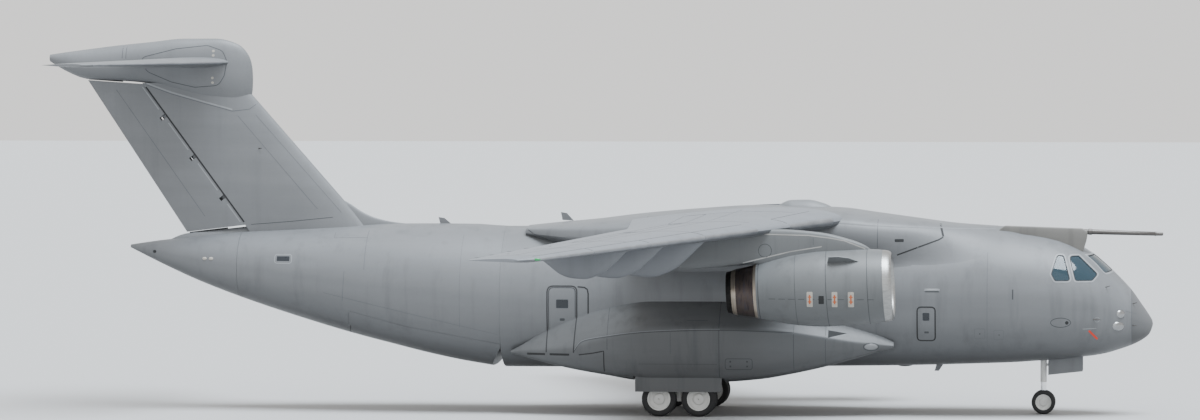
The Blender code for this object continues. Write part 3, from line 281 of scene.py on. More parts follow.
def metal(name, colours, roughness, stretch):
    """Brushed or heat-stained metal: a colour ramp along a stretched noise."""
    surface = bpy.data.materials.new(name)
    surface.use_nodes = True
    tree = surface.node_tree
    shader = tree.nodes["Principled BSDF"]
    place = add(tree, "ShaderNodeTexCoord").outputs["Object"]
    grain = pattern(tree, place, stretch, GRAIN_SCALE, 6.0)
    ramp = add(tree, "ShaderNodeValToRGB", (("Fac", grain),))
    stops = ramp.color_ramp.elements
    stops[0].position, stops[1].position = 0.3, 0.7
    stops[0].color, stops[1].color = (*colours[0], 1.0), (*colours[-1], 1.0)
    for colour in colours[1:-1]:
        stops.new(0.5).color = (*colour, 1.0)
    gloss = reckon(tree, "ADD", product(tree, grain, 0.18), roughness - 0.09)
    tree.links.new(ramp.outputs["Color"], shader.inputs["Base Color"])
    tree.links.new(gloss, shader.inputs["Roughness"])
    wires = (("Height", grain), ("Strength", 0.12), ("Distance", RELIEF_DEPTH))
    tree.links.new(add(tree, "ShaderNodeBump", wires).outputs["Normal"], shader.inputs["Normal"])
    shader.inputs["Metallic"].default_value = 1.0
    return surface


LIP_METAL = metal("lip_metal", ((0.27, 0.27, 0.265), (0.38, 0.38, 0.37)), 0.36, (0.3, 6.0, 6.0))
EDGE_METAL = metal("edge_metal", ((0.25, 0.26, 0.275), (0.34, 0.35, 0.37)), 0.50, (2.0, 0.4, 2.0))
BURNT_TINTS = ((0.040, 0.036, 0.042), (0.085, 0.066, 0.058), (0.055, 0.054, 0.068))
BURNT_METAL = metal("burnt_metal", BURNT_TINTS, 0.38, (5.0, 0.8, 0.8))
RING_METAL = metal("ring_metal", ((0.27, 0.225, 0.18), (0.42, 0.37, 0.31)), 0.34, (5.0, 0.8, 0.8))
SOOT_METAL = metal("soot_metal", ((0.012, 0.012, 0.012), (0.03, 0.028, 0.027)), 0.6, (3.0, 3.0, 3.0))
BLADE_METAL = metal("blade_metal", ((0.17, 0.175, 0.19), (0.26, 0.27, 0.29)), 0.30, (1.0, 4.0, 4.0))
CHROME = metal("oleo_chrome", ((0.70, 0.71, 0.72), (0.80, 0.80, 0.81)), 0.14, (1.0, 1.0, 8.0))
PROBE_METAL = metal("probe_metal", ((0.085, 0.080, 0.076), (0.15, 0.142, 0.135)), 0.40, (0.3, 8.0, 8.0))
DOME_METAL = metal("dome_metal", ((0.25, 0.255, 0.26), (0.35, 0.355, 0.36)), 0.24, (2.0, 2.0, 2.0))


GLASS_IOR = 1.45


def clear(name, colour, roughness, transmission):
    """Glass or a lamp cover."""
    surface = bpy.data.materials.new(name)
    surface.use_nodes = True
    tree = surface.node_tree
    shader = tree.nodes["Principled BSDF"]
    place = add(tree, "ShaderNodeTexCoord").outputs["Object"]
    haze = pattern(tree, place, (1.0, 1.0, 1.0), 3.0)
    tint = add(tree, "ShaderNodeValToRGB", (("Fac", haze),))
    tint.color_ramp.elements[0].color = (*(c * 0.8 for c in colour), 1.0)
    tint.color_ramp.elements[1].color = (*colour, 1.0)
    tree.links.new(tint.outputs["Color"], shader.inputs["Base Color"])
    tree.links.new(reckon(tree, "ADD", product(tree, haze, 0.06), roughness), shader.inputs["Roughness"])
    shader.inputs["Transmission Weight"].default_value = transmission
    shader.inputs["IOR"].default_value = GLASS_IOR
    return surface


COCKPIT_GLASS = clear("cockpit_glass", (0.040, 0.088, 0.120), 0.03, 0.55)
CABIN_GLASS = clear("cabin_glass", (0.022, 0.026, 0.032), 0.25, 0.0)
LAMP_GLASS = clear("lamp_glass", (0.34, 0.35, 0.36), 0.06, 0.3)
RED_GLASS = clear("red_glass", (0.55, 0.03, 0.02), 0.08, 0.3)
GREEN_GLASS = clear("green_glass", (0.03, 0.40, 0.12), 0.08, 0.3)
print("materials", len(bpy.data.materials))

# %% [markdown]
# ## Shapes
# A fuselage is a stack of cross-sections, so a loft through rings of points makes it. The rings come
# from a table of stations read with a monotone cubic, which passes through every measured station
# without swinging past it. Openings are cut with Booleans, as a real skin is cut after forming.

# %% Mesh helpers


def solid(name, points, faces):
    """An object from points and faces, with every face turned outwards."""
    mesh = bpy.data.meshes.new(name)
    mesh.from_pydata([tuple(p) for p in points], [], faces)
    work = bmesh.new()
    work.from_mesh(mesh)
    bmesh.ops.recalc_face_normals(work, faces=work.faces)
    work.to_mesh(mesh)
    work.free()
    made = bpy.data.objects.new(name, mesh)
    bpy.context.scene.collection.objects.link(made)
    return made


def circle(count):
    """Angles all the way round."""
    return [2 * math.pi * step / count for step in range(count)]


def loft(name, rings, closed=False):
    """Skin rings in order. A closed loft joins its last ring to its first, others get ends."""
    count = len(rings[0])
    points = [point for ring in rings for point in ring]
    faces = []
    for row in range(len(rings) if closed else len(rings) - 1):
        start, after = row * count, (row + 1) % len(rings) * count
        for s in range(count):
            beside = (s + 1) % count
            faces.append((start + s, start + beside, after + beside, after + s))
    if not closed:
        faces += [tuple(range(count)), tuple(range((len(rings) - 1) * count, len(rings) * count))]
    return solid(name, points, faces)


def block(name, low, high):
    """A box between two corners."""
    square = ((low[1], low[2]), (high[1], low[2]), (high[1], high[2]), (low[1], high[2]))
    return loft(name, [[(x, y, z) for y, z in square] for x in (low[0], high[0])])


def prism(name, outline, axis, low, high):
    """A flat outline pushed along x, y or z."""
    at = "xyz".index(axis)
    return loft(name, [[(*point[:at], t, *point[at:]) for point in map(tuple, outline)] for t in (low, high)])


def turned(name, outline, sides=64, closed=False):
    """Turn an outline of distance and radius about the x axis."""
    return loft(name, [[(d, r * math.cos(a), r * math.sin(a)) for a in circle(sides)] for d, r in outline],
                closed)


def aim(obj, start, end):
    """Lay a piece that was made along x between two points."""
    facing = (end - start).to_track_quat("X", "Z").to_matrix().to_4x4()
    obj.data.transform(Matrix.Translation(start) @ facing)
    return obj


def rod(name, start, end, radius, sides=24, top=None):
    """A round bar between two points, tapered where top is given."""
    start, end = Vector(start), Vector(end)
    outline = ((0.0, radius), ((end - start).length, radius if top is None else top))
    return aim(turned(name, outline, sides), start, end)


def combine(body, tool, operation):
    """Apply a Boolean and remove the tool."""
    modifier = body.modifiers.new("combine", "BOOLEAN")
    modifier.operation, modifier.object = operation, tool
    mesh = bpy.data.meshes.new_from_object(body.evaluated_get(bpy.context.evaluated_depsgraph_get()))
    work = bmesh.new()
    work.from_mesh(mesh)
    bmesh.ops.remove_doubles(work, verts=work.verts, dist=1e-6)
    work.to_mesh(mesh)
    work.free()
    body.modifiers.clear()
    body.data = mesh
    bpy.data.objects.remove(tool)
    return body


def cut(body, *tools):
    """Take the tools away."""
    for tool in tools:
        combine(body, tool, "DIFFERENCE")
    return body


def merge(name, pieces):
    """Put several closed meshes into one object."""
    points, faces = [], []
    for piece in pieces:
        base = len(points)
        points += [piece.matrix_world @ v.co for v in piece.data.vertices]
        faces += [tuple(base + i for i in face.vertices) for face in piece.data.polygons]
        bpy.data.objects.remove(piece)
    return solid(name, points, faces)


def dress(obj, paint, body="airframe", instead=(), sharp=32.0):
    """Paint a piece, smooth it up to its sharp edges, and let it ride on its body."""
    obj.data.materials.clear()
    obj.data.materials.append(paint)
    obj.data.shade_smooth()
    obj.data.set_sharp_from_angle(angle=math.radians(sharp))
    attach(obj, body)
    if instead:
        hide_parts(*([instead] if isinstance(instead, str) else instead))
    return obj


# %% Reading tables smoothly


def smooth_table(rows):
    """A monotone cubic through a table whose first column rises."""
    at, values = np.array([r[0] for r in rows], float), np.array([r[1:] for r in rows], float)
    gaps = np.diff(at)
    slopes = np.diff(values, axis=0) / gaps[:, None]
    lean = np.vstack([slopes[:1], np.zeros_like(values[1:-1]), slopes[-1:]])
    before, after = slopes[:-1], slopes[1:]
    one, two = (2 * gaps[1:] + gaps[:-1])[:, None], (gaps[1:] + 2 * gaps[:-1])[:, None]
    same = before * after > 0
    safe_before, safe_after = np.where(same, before, 1.0), np.where(same, after, 1.0)
    lean[1:-1] = np.where(same, (one + two) / (one / safe_before + two / safe_after), 0.0)

    def read(x):
        i = int(min(max(np.searchsorted(at, x) - 1, 0), len(at) - 2))
        h, t = gaps[i], (x - at[i]) / gaps[i]
        a, b = (1 + 2 * t) * (1 - t) ** 2, t * (1 - t) ** 2
        c, d = t * t * (3 - 2 * t), t * t * (t - 1)
        return a * values[i] + b * h * lean[i] + c * values[i + 1] + d * h * lean[i + 1]

    return read


def between(rows, at):
    """Read a table with straight lines between its rows."""
    for before, after in zip(rows, rows[1:]):
        if min(before[0], after[0]) <= at <= max(before[0], after[0]):
            share = (at - before[0]) / (after[0] - before[0])
            return [a + (b - a) * share for a, b in zip(before[1:], after[1:])]
    raise ValueError(f"{at} is outside the table")


def spread(start, end, step):
    """Places from start to end, no further apart than step."""
    count = max(1, math.ceil(abs(end - start) / step))
    return [start + (end - start) * i / count for i in range(count + 1)]


CORNER_STEPS = 5


def rounded(outline, radius):
    """Round the corners of a flat outline."""
    result = []
    for i, corner in enumerate(outline):
        c = Vector(corner)
        a, b = Vector(outline[i - 1]) - c, Vector(outline[(i + 1) % len(outline)]) - c
        reach = min(radius / math.tan(a.angle(b) / 2), a.length * 0.45, b.length * 0.45)
        first, last = c + a.normalized() * reach, c + b.normalized() * reach
        for step in range(CORNER_STEPS + 1):
            t = step / CORNER_STEPS
            result.append(tuple(first * (1 - t) ** 2 + c * 2 * t * (1 - t) + last * t * t))
    return result


# %% [markdown]
# ## Fuselage skins
# The section is a round crown over a squarer belly. The nose is blunt, so the stations are read against
# the square root of the distance from the tip: equal steps there come out close together at the tip.

# %% Fuselage section
NOSE_TIP = (17.465, 2.86)
# Station, top, bottom, half width
HULL = (
    (17.44, 2.98, 2.74, 0.12), (17.36, 3.12, 2.55, 0.31), (17.12, 3.47, 2.35, 0.66),
    (16.80, 3.92, 2.19, 1.00), (16.40, 4.35, 2.05, 1.30), (16.00, 4.73, 1.93, 1.53),
    (15.55, 5.10, 1.85, 1.73), (15.10, 5.36, 1.80, 1.87), (14.50, 5.60, 1.73, 2.01),
    (13.80, 5.74, 1.68, 2.13), (13.10, 5.82, 1.63, 2.21), (12.35, 5.87, 1.60, 2.25),
    (8.90, 5.87, 1.50, 2.25), (-2.93, 5.86, 1.40, 2.25), (-3.90, 5.92, 1.52, 2.24),
    (-5.20, 5.93, 1.77, 2.20), (-6.60, 5.92, 2.11, 2.09), (-7.89, 5.84, 2.44, 1.94),
    (-9.60, 5.76, 2.94, 1.66), (-11.48, 5.65, 3.55, 1.27), (-12.90, 5.50, 4.08, 0.90),
    (-14.20, 5.36, 4.66, 0.50), (-15.15, 5.22, 5.12, 0.08),
)
WAIST, LOWER_POWER = 0.489, 0.72
HULL_SIDES = 96
WALL, CLEAR, SEAM_WIDE = 0.15, 0.006, 0.004
RADOME_AFT, COCKPIT_AFT, FORWARD_AFT, CENTRE_AFT, TAIL_AFT = 16.80, 12.35, 8.90, -2.93, -11.48
hull_rows = [(math.sqrt(NOSE_TIP[0] - x), *row) for x, *row in HULL]
read_hull = smooth_table([(0.0, NOSE_TIP[1], NOSE_TIP[1], 0.0)] + hull_rows)


def hull_at(x):
    """Top, bottom and half width of the fuselage at x."""
    return read_hull(math.sqrt(max(NOSE_TIP[0] - x, 0.0)))


def squarer(value, power):
    """A sine or cosine raised to a power, with its sign kept. Low powers fill out the corners."""
    return math.copysign(abs(value) ** power, value)


def hull_ring(x, inset=0.0):
    """The fuselage section at x, set in by inset."""
    top, low, half = hull_at(x)
    top, low, half = top - inset, low + inset, half - inset
    waist = low + WAIST * (top - low)
    ring = []
    for turn in circle(HULL_SIDES):
        side, rise = math.cos(turn), math.sin(turn)
        power, reach = (1.0, top - waist) if rise >= 0 else (LOWER_POWER, waist - low)
        ring.append((x, half * squarer(side, power), waist + reach * squarer(rise, power)))
    return ring


def stations(front, aft):
    """Places along the fuselage, closer together towards the nose."""
    places = [front]
    while places[-1] > aft + 1e-6:
        places.append(max(aft, places[-1] - min(0.45, 0.015 + 0.12 * (NOSE_TIP[0] - places[-1]))))
    return places


def hull_solid(name, front, aft, inset):
    """The fuselage shape between two stations, filled."""
    return loft(name, [hull_ring(x, inset) for x in stations(front, aft)])


def hull_tube(name, front, aft, outer=0.0, inner=WALL):
    """The fuselage wall between two stations."""
    along = stations(front, aft)
    rings = [hull_ring(x, outer) for x in along] + [hull_ring(x, inner) for x in reversed(along)]
    return loft(name, rings, closed=True)


print("section at the wing", [round(float(v), 2) for v in hull_at(0.0)])

# %% [markdown]
# ## Nose and cockpit
# The radome is a plain shell. Behind it the cockpit shell has two windows on each side and a windshield
# of two panes. Flat panes would leave steps at their edges, so each pane is a piece of a thin copy of the
# same skin, cut with the outline that cut its opening. The frames and seals come later in the same way.

# %% Radome and cockpit shell
WINDOWS = {
    "side_window_front": ((14.86, 5.03), (15.17, 5.03), (15.77, 4.45), (15.59, 4.25), (15.06, 4.25)),
    "side_window_rear": ((14.49, 5.05), (14.70, 5.05), (14.93, 4.25), (14.43, 4.25), (14.31, 4.47)),
}
SHIELD = ((0.035, 4.56), (0.93, 4.47), (0.78, 5.02), (0.035, 5.06))
NOSE_WELL, NOSE_WELL_HALF, NOSE_WELL_RISE = (13.90, 15.35), 0.33, (1.2, 2.4)


def through(side, start, end):
    """How far a cut reaches on one side of the fuselage, the lower number first."""
    return sorted((side * start, side * end))


# Piece, the node that it replaces, outline, axis of the cut, where the cut starts and ends, corner radius
OPENINGS = [(f"{name}_glass_{word}", f"{name}_{word}", outline, "y", *through(side, 0.8, 2.6), 0.10)
            for name, outline in WINDOWS.items() for side, word in SIDES]
OPENINGS += [(f"windshield_glass_{word}", "windshield", [(side * y, z) for y, z in SHIELD], "x", 15.0, 16.75,
              0.06) for side, word in SIDES]
tip_rings = [hull_ring(x) for x in stations(NOSE_TIP[0] - 0.0004, RADOME_AFT + SEAM_WIDE)]
dress(loft("nose_radome", tip_rings), RADOME_GREY_SHADED, instead="radome")
shell = hull_tube("cockpit_skin", RADOME_AFT, COCKPIT_AFT + SEAM_WIDE)
for _, _, outline, axis, near, far, radius in OPENINGS:
    cut(shell, prism("cutter", rounded(outline, radius), axis, near, far))
low, high = NOSE_WELL_RISE
cut(shell, block("cutter", (NOSE_WELL[0], -NOSE_WELL_HALF, low), (NOSE_WELL[1], NOSE_WELL_HALF, high)))
dress(shell, HULL_GREY, instead="cockpit_shell")
print("cockpit faces", len(shell.data.polygons))

# %% Window panes
PANE_IN, PANE_DEEP = 0.012, 0.03
# The stretch of the fuselage that holds the windows
GLAZED = (16.75, 13.20)
for name, node, outline, axis, near, far, radius in OPENINGS:
    glass = hull_tube(name, *GLAZED, PANE_IN, PANE_IN + PANE_DEEP)
    combine(glass, prism("cutter", rounded(outline, radius), axis, near, far), "INTERSECT")
    dress(glass, COCKPIT_GLASS, instead=node)
print("panes", len(OPENINGS))

# %% [markdown]
# ## Barrels, doors and ramp
# The wall is cut where the real panels meet. The crew door, the ramp and the cargo door are moving
# pieces, so each is the same skin kept inside its own opening, and rides on its own body.

# %% Forward and centre skins with the crew door
CREW_X, CREW_Z = (10.15, 10.95), (2.20, 3.95)
crew_hinge = Vector((10.55, 1.9097, 2.20))


def crew_space(spare):
    """The crew door's opening."""
    low, high = (CREW_X[0] - spare, 1.4, CREW_Z[0] - spare), (CREW_X[1] + spare, 2.6, CREW_Z[1] + spare)
    return block("cutter", low, high)


def crew_barrel(name, radius, spare):
    """The hinge bar along the crew door's sill."""
    start, end = crew_hinge.copy(), crew_hinge.copy()
    start.x, end.x = CREW_X[0] - spare, CREW_X[1] + spare
    return rod(name, start, end, radius)


forward = hull_tube("forward_skin", COCKPIT_AFT, FORWARD_AFT + SEAM_WIDE)
cut(forward, crew_space(CLEAR), crew_barrel("cutter", 0.031, 0.02))
dress(forward, HULL_GREY, instead="forward_fuselage")
crew_door = combine(hull_tube("crew_door_leaf", COCKPIT_AFT, FORWARD_AFT), crew_space(0.0), "INTERSECT")
combine(crew_door, crew_barrel("tool", 0.03, 0.0), "UNION")
dress(crew_door, HULL_GREY, "crew_door", instead="crew_door")
centre = hull_tube("centre_skin", FORWARD_AFT, CENTRE_AFT)
# The paratroop doors are fixed, and a dark gap shows round each
TROOP_X, TROOP_Z, TROOP_GAP = (-1.36, -0.54), (2.05, 3.98), 0.018


def troop_outline(spare, radius):
    """The paratroop door from the side, made larger by spare."""
    (aft, front), (low, high) = TROOP_X, TROOP_Z
    corners = ((aft - spare, low - spare), (front + spare, low - spare),
               (front + spare, high + spare), (aft - spare, high + spare))
    return rounded(corners, radius)


for side, word in SIDES:
    near, far = through(side, 1.4, 2.6)
    cut(centre, prism("cutter", troop_outline(TROOP_GAP, 0.15), "y", near, far))
    leaf = hull_tube(f"paratroop_door_leaf_{word}", 0.0, -2.0)
    combine(leaf, prism("tool", troop_outline(0.0, 0.14), "y", near, far), "INTERSECT")
    dress(leaf, HULL_GREY, instead=f"paratroop_door_{word}")
dress(centre, HULL_GREY, instead="centre_fuselage")
print("centre faces", len(centre.data.polygons))

# %% Tail skin, ramp and cargo door
SEAM = ((-2.93, 2.20), (-6.02, 2.75), (-7.89, 3.24))
RAMP_HINGE, RAMP_TIP, RAMP_LEAN = (-2.935, 2.09), (-7.886, 2.44), math.radians(32.0)
DOOR_HINGE, DOOR_FRONT, DOOR_AFT = (-11.26, 3.66), -7.895, -11.275
DOOR_HALF = (1.42, 0.66)
DOOR_LOW, DOOR_SEAL = 2.4415, 0.02
DOOR_TRIM = (-11.20, 3.645)


def seam_space(lift):
    """Everything below the ramp's side seam."""
    front, aft = SEAM[0][0] + 0.5, SEAM[-1][0] - 0.5
    outline = [(front, SEAM[0][1] - lift)] + [(x, z - lift) for x, z in SEAM]
    outline += [(aft, SEAM[-1][1] + 0.13 - lift), (aft, 0.5), (front, 0.5)]
    return prism("cutter", outline, "y", -3.0, 3.0)


def disc(centre_xz, rim_xz, extra, half):
    """The round space that a door sweeps about its hinge."""
    x, z = centre_xz
    return rod("cutter", (x, -half, z), (x, half, z), math.dist(centre_xz, rim_xz) + extra, 240)


def door_space(spare):
    """The cargo door's outline from above."""
    front, aft = DOOR_HALF
    right = [(DOOR_FRONT + 0.6, front + spare), (DOOR_FRONT, front + spare), (DOOR_AFT - spare, aft + spare)]
    return prism("cutter", right + [(x, -y) for x, y in reversed(right)], "z", 1.5, 4.3)


tail_skin = hull_tube("tail_skin", CENTRE_AFT - SEAM_WIDE, TAIL_AFT + SEAM_WIDE)
ramp_hole = combine(seam_space(0.0), disc(RAMP_HINGE, RAMP_TIP, CLEAR, 3.0), "INTERSECT")
cut(tail_skin, ramp_hole, door_space(CLEAR))
# A bulkhead behind the cargo door carries its hinge
combine(tail_skin, hull_solid("tool", -11.28, TAIL_AFT + 0.04, WALL - 0.02), "UNION")
x, z = DOOR_HINGE
cut(tail_skin, rod("cutter", (x, -0.58, z), (x, 0.58, z), 0.0506))
dress(tail_skin, HULL_GREY, instead="tail_section")
dress(hull_solid("tail_cone_skin", TAIL_AFT - SEAM_WIDE, HULL[-1][0], 0.0), HULL_GREY, instead="tail_cone")

x, z = RAMP_HINGE
RAMP_CUT_AFT = -8.286
ramp = hull_solid("loading_ramp", CENTRE_AFT - 0.01, RAMP_TIP[0] - 0.3, 0.0)
combine(ramp, seam_space(CLEAR), "INTERSECT")
combine(ramp, disc(RAMP_HINGE, RAMP_TIP, 0.0, 3.0), "INTERSECT")
cut(ramp, disc(DOOR_HINGE, (DOOR_FRONT, DOOR_LOW), DOOR_SEAL, 1.46))
lean = (z - 0.5) * math.tan(RAMP_LEAN)
front_edge = ((x + 0.2, z), (x - 0.005, z), (x - 0.005 - lean, 0.5), (x + 0.2, 0.5))
cut(ramp, prism("cutter", front_edge, "y", -3.0, 3.0))
above_floor = ((x + 0.1, 2.15), (x, 2.15), (RAMP_CUT_AFT, 2.74), (RAMP_CUT_AFT, 6.0), (x + 0.1, 6.0))
hold = hull_solid("cutter", CENTRE_AFT, RAMP_CUT_AFT, WALL)
cut(ramp, combine(hold, prism("tool", above_floor, "y", -3.0, 3.0), "INTERSECT"))
combine(ramp, rod("tool", (x, -1.2, z), (x, 1.2, z), 0.05), "UNION")
dress(ramp, HULL_GREY, "ramp", instead=("ramp", "ramp_wall_left", "ramp_wall_right"))

door = combine(hull_tube("cargo_door_skin", DOOR_FRONT + 0.5, TAIL_AFT), door_space(0.0), "INTERSECT")
combine(door, disc(DOOR_HINGE, (DOOR_FRONT, DOOR_LOW), 0.0, 1.46), "INTERSECT")
cut(door, block("cutter", (DOOR_AFT - 0.1, -1.0, DOOR_TRIM[1]), (DOOR_TRIM[0], 1.0, 4.2)))
x, z = DOOR_HINGE
combine(door, rod("tool", (x, -0.56, z), (x, 0.56, z), 0.05), "UNION")
dress(door, HULL_GREY, "cargo_door", instead="cargo_door")
print("tail skin faces", len(tail_skin.data.polygons), "ramp", len(ramp.data.polygons))

# %% [markdown]
# ## Wing
# A wing section is thick near its front and tapers to a thin edge. The sections are lofted along the
# span, the space of the flap and aileron is cut behind the hinge line, and the moving pieces have round
# noses that turn in it. Lugs and pins carry the aileron.

# %% Section helpers
# Span station, leading edge, trailing edge, height, thickness over chord
WING = ((2.00, 7.87, 1.25, 6.12, 0.125), (5.90, 5.90, 1.52, 5.95, 0.115),
        (17.15, 0.225, -1.705, 5.44, 0.10), (17.525, -0.35, -1.80, 5.42, 0.06))
CHORD = [0.5 - 0.5 * math.cos(math.pi * step / 22) for step in range(23)]
PIN, EYE, LUG_HALF = 0.025, 0.026, 0.05


def half_thickness(share):
    """Half thickness of the section over its full thickness, at a share of the chord."""
    root = 0.2969 * math.sqrt(share)
    return 5.0 * (root - 0.1260 * share - 0.3516 * share**2 + 0.2843 * share**3 - 0.1015 * share**4)


def wing_place(side):
    """Wing axes to world."""
    return lambda x, thick, span, height: (x, side * span, height + thick)


def fin_place(x, thick, span, height):
    """Fin axes to world: its span runs up."""
    return (x, height + thick, span)


def section_ring(rows, place, span, shares=CHORD, grow=0.0):
    """The section at a span station, whole or only near its leading edge, and set out by grow."""
    lead, trail, height, ratio = between(rows, span)
    chord = lead - trail
    upper = [(lead - s * chord + grow * (1 - 2 * s), ratio * chord * half_thickness(s) + (grow if s else 0.0))
             for s in shares]
    ring = [place(x, t, span, height) for x, t in reversed(upper)]
    return ring + [place(x, -t, span, height) for x, t in upper[1:]]


def hinge_line(rows, place, share, spans):
    """Two points on the hinge, and its lean."""
    at = [between(rows, span) for span in spans]
    xs = [lead - share * (lead - trail) for lead, trail, _, _ in at]
    ends = [Vector(place(x, 0.0, span, row[2])) for x, span, row in zip(xs, spans, at)]
    return ends[0], ends[1], math.atan2(abs(xs[1] - xs[0]), abs(spans[1] - spans[0]))


def tail_piece(name, rows, place, spans, share, lean, spare=None):
    """A flap, aileron, elevator or rudder behind its hinge, or with spare the space it needs."""
    rings = []
    for span in spread(spans[0], spans[1], 0.5):
        lead, trail, height, ratio = between(rows, span)
        chord = lead - trail
        hinge = lead - share * chord
        radius = ratio * chord * half_thickness(share) + (spare or 0.0)
        turns = [math.pi / 2 - math.pi * step / 14 for step in range(15)]
        nose = [(hinge + radius / math.cos(lean) * math.cos(a), radius * math.sin(a)) for a in turns]
        if spare is None:
            upper = [(lead - s * chord, ratio * chord * half_thickness(s)) for s in CHORD if s > share + 0.02]
            outline = list(reversed(upper)) + nose + [(x, -t) for x, t in upper]
        else:
            outline = [(trail - 1.0, 0.8), (hinge, 0.8)] + nose + [(hinge, -0.8), (trail - 1.0, -0.8)]
        rings.append([place(x, t, span, height) for x, t in outline])
    return loft(name, rings)


def hang(fixed, moving, start, end, shares, radius):
    """Hinge lugs on the fixed piece, in notches of the moving one that a pin bridges."""
    axis = (end - start).normalized()
    ahead = axis.cross(Vector((1.0, 0.0, 0.0))).cross(axis).normalized()
    notch, lug = radius * 1.12 + 0.02, max(radius * 0.55, PIN * 1.9)
    for share in shares:
        middle = start.lerp(end, share)
        low, high = middle - axis * LUG_HALF, middle + axis * LUG_HALF
        cut(moving, rod("cutter", low - axis * 0.01, high + axis * 0.01, notch))
        combine(moving, rod("tool", low - axis * 0.05, high + axis * 0.05, PIN), "UNION")
        eye = rod("eye", low, high, lug)
        root, end_of_arm = middle + ahead * lug * 0.3, middle + ahead * (radius * 1.3 + 0.08)
        combine(eye, rod("arm", root, end_of_arm, LUG_HALF * 0.9, 12), "UNION")
        combine(fixed, cut(eye, rod("cutter", low - axis * 0.2, high + axis * 0.2, EYE)), "UNION")


def thick_at(rows, span, share):
    """Half thickness in metres at a span station and a share of the chord."""
    lead, trail, _, ratio = between(rows, span)
    return ratio * (lead - trail) * half_thickness(share)


def shorter(spans, gap):
    """A stretch of span with a gap left at both ends."""
    return (spans[0] + gap, spans[1] - gap)


# %% Wings, flaps and ailerons
FLAP_SPAN, AILERON_SPAN, WING_HINGE, END_GAP, SWING_GAP = (2.50, 12.40), (12.52, 16.85), 0.74, 0.035, 0.010
wings = {}
for side, word in SIDES:
    place = wing_place(side)
    spans = sorted(set(spread(2.0, 5.9, 0.5) + spread(5.9, 17.15, 0.5) + spread(17.15, 17.525, 0.1)))
    wing = loft(f"wing_skin_{word}", [section_ring(WING, place, span) for span in spans])
    lean = hinge_line(WING, place, WING_HINGE, (5.9, FLAP_SPAN[1]))[2]
    flap = tail_piece(f"flap_skin_{word}", WING, place, shorter(FLAP_SPAN, 0.01), WING_HINGE, lean)
    cut(wing, tail_piece("cutter", WING, place, FLAP_SPAN, WING_HINGE, lean, 0.008))
    start, end, lean = hinge_line(WING, place, WING_HINGE, AILERON_SPAN)
    inner = shorter(AILERON_SPAN, END_GAP)
    aileron = tail_piece(f"aileron_skin_{word}", WING, place, inner, WING_HINGE, lean)
    cut(wing, tail_piece("cutter", WING, place, AILERON_SPAN, WING_HINGE, lean, SWING_GAP))
    hang(wing, aileron, start, end, (0.2, 0.8), thick_at(WING, sum(AILERON_SPAN) / 2, WING_HINGE))
    wings[word] = dress(wing, WING_GREY, instead=f"wing_{word}")
    dress(flap, WING_GREY, instead=f"flap_{word}")
    dress(aileron, WING_GREY, f"aileron_{word}", instead=f"aileron_{word}")
print("wing faces", {word: len(w.data.polygons) for word, w in wings.items()})

# %% [markdown]
# ## Flap track fairings
# Each flap runs on tracks inside deep pods under the wing. A pod is a canoe with flat sides and a round
# keel. Its shape is given in shares of the wing's chord, so the pods grow smaller towards the tip with
# the wing, and one table makes them all.

# %% Flap track fairings
# Span station and half width
TRACKS = ((8.35, 0.18), (10.50, 0.165), (12.36, 0.15))
POD_SIDES, POD_POWER = 40, 0.6
# Share of the chord, share of the width, then top and bottom below the chord plane as shares of the chord
POD = (
    (0.14, 0.10, 0.030, 0.045), (0.19, 0.42, 0.010, 0.090), (0.28, 0.78, 0.0, 0.180),
    (0.40, 1.00, 0.0, 0.274), (0.57, 1.00, 0.0, 0.327), (0.70, 0.97, 0.0, 0.318),
    (0.795, 0.88, 0.0, 0.288), (0.945, 0.58, 0.005, 0.178), (1.04, 0.30, 0.035, 0.105),
    (1.10, 0.08, 0.055, 0.070),
)
read_pod = smooth_table(POD)
for side, word in SIDES:
    place = wing_place(side)
    for number, (span, half) in enumerate(TRACKS):
        lead, trail, height, _ = between(WING, span)
        chord = lead - trail
        rings = []
        for share in spread(POD[0][0], POD[-1][0], 0.02):
            wide, top, low = (float(v) for v in read_pod(share))
            ring = []
            for step in range(POD_SIDES):
                a = 2 * math.pi * (step + 0.5) / POD_SIDES
                across = squarer(math.cos(a), POD_POWER)
                drop = (top + low) / 2 - (low - top) / 2 * math.sin(a)
                ring.append(place(lead - share * chord, -drop * chord, span + half * wide * across, height))
            rings.append(ring)
        dress(loft(f"flap_track_pod_{number}_{word}", rings), WING_GREY)
print("pods", 2 * len(TRACKS))

# %% [markdown]
# ## Wing fairing
# The wing root sits in a long fairing on the crown, with a dome on top for an antenna. At its front and
# its sides, a fillet blends the fairing into the crown, so that no groove shows between the two lofts.

# %% Wing fairing
# Station, top, half width, lower edge
FAIRING = (
    (12.60, 5.92, 0.60, 5.60), (11.41, 6.00, 1.20, 5.45), (10.15, 6.16, 1.75, 5.25),
    (8.89, 6.33, 2.15, 5.00), (7.63, 6.49, 2.30, 4.90), (5.09, 6.55, 2.35, 4.90),
    (3.19, 6.44, 2.35, 4.90), (1.28, 6.27, 2.30, 4.90), (0.00, 6.11, 2.10, 5.05),
    (-1.28, 5.99, 1.70, 5.30), (-2.24, 5.89, 1.10, 5.50),
)
# Shares of the half width and of the height, from the lower edge to the top
FAIRING_SHAPE = ((0.72, 0.0), (1.0, 0.42), (0.97, 0.72), (0.62, 0.94), (0.0, 1.0))
FAIRING_FRONT, FAIRING_END = FAIRING[0][0], FAIRING[-1][0]
read_fairing = smooth_table(sorted(FAIRING))
read_side = smooth_table([(i / 4, *row) for i, row in enumerate(FAIRING_SHAPE)])


def fairing_side(x, start, end):
    """The fairing's side at x, from one share of its outline to another."""
    top, half, edge = read_fairing(x)
    return [(half * w, edge + (top - edge) * t) for w, t in (read_side(s) for s in spread(start, end, 0.05))]


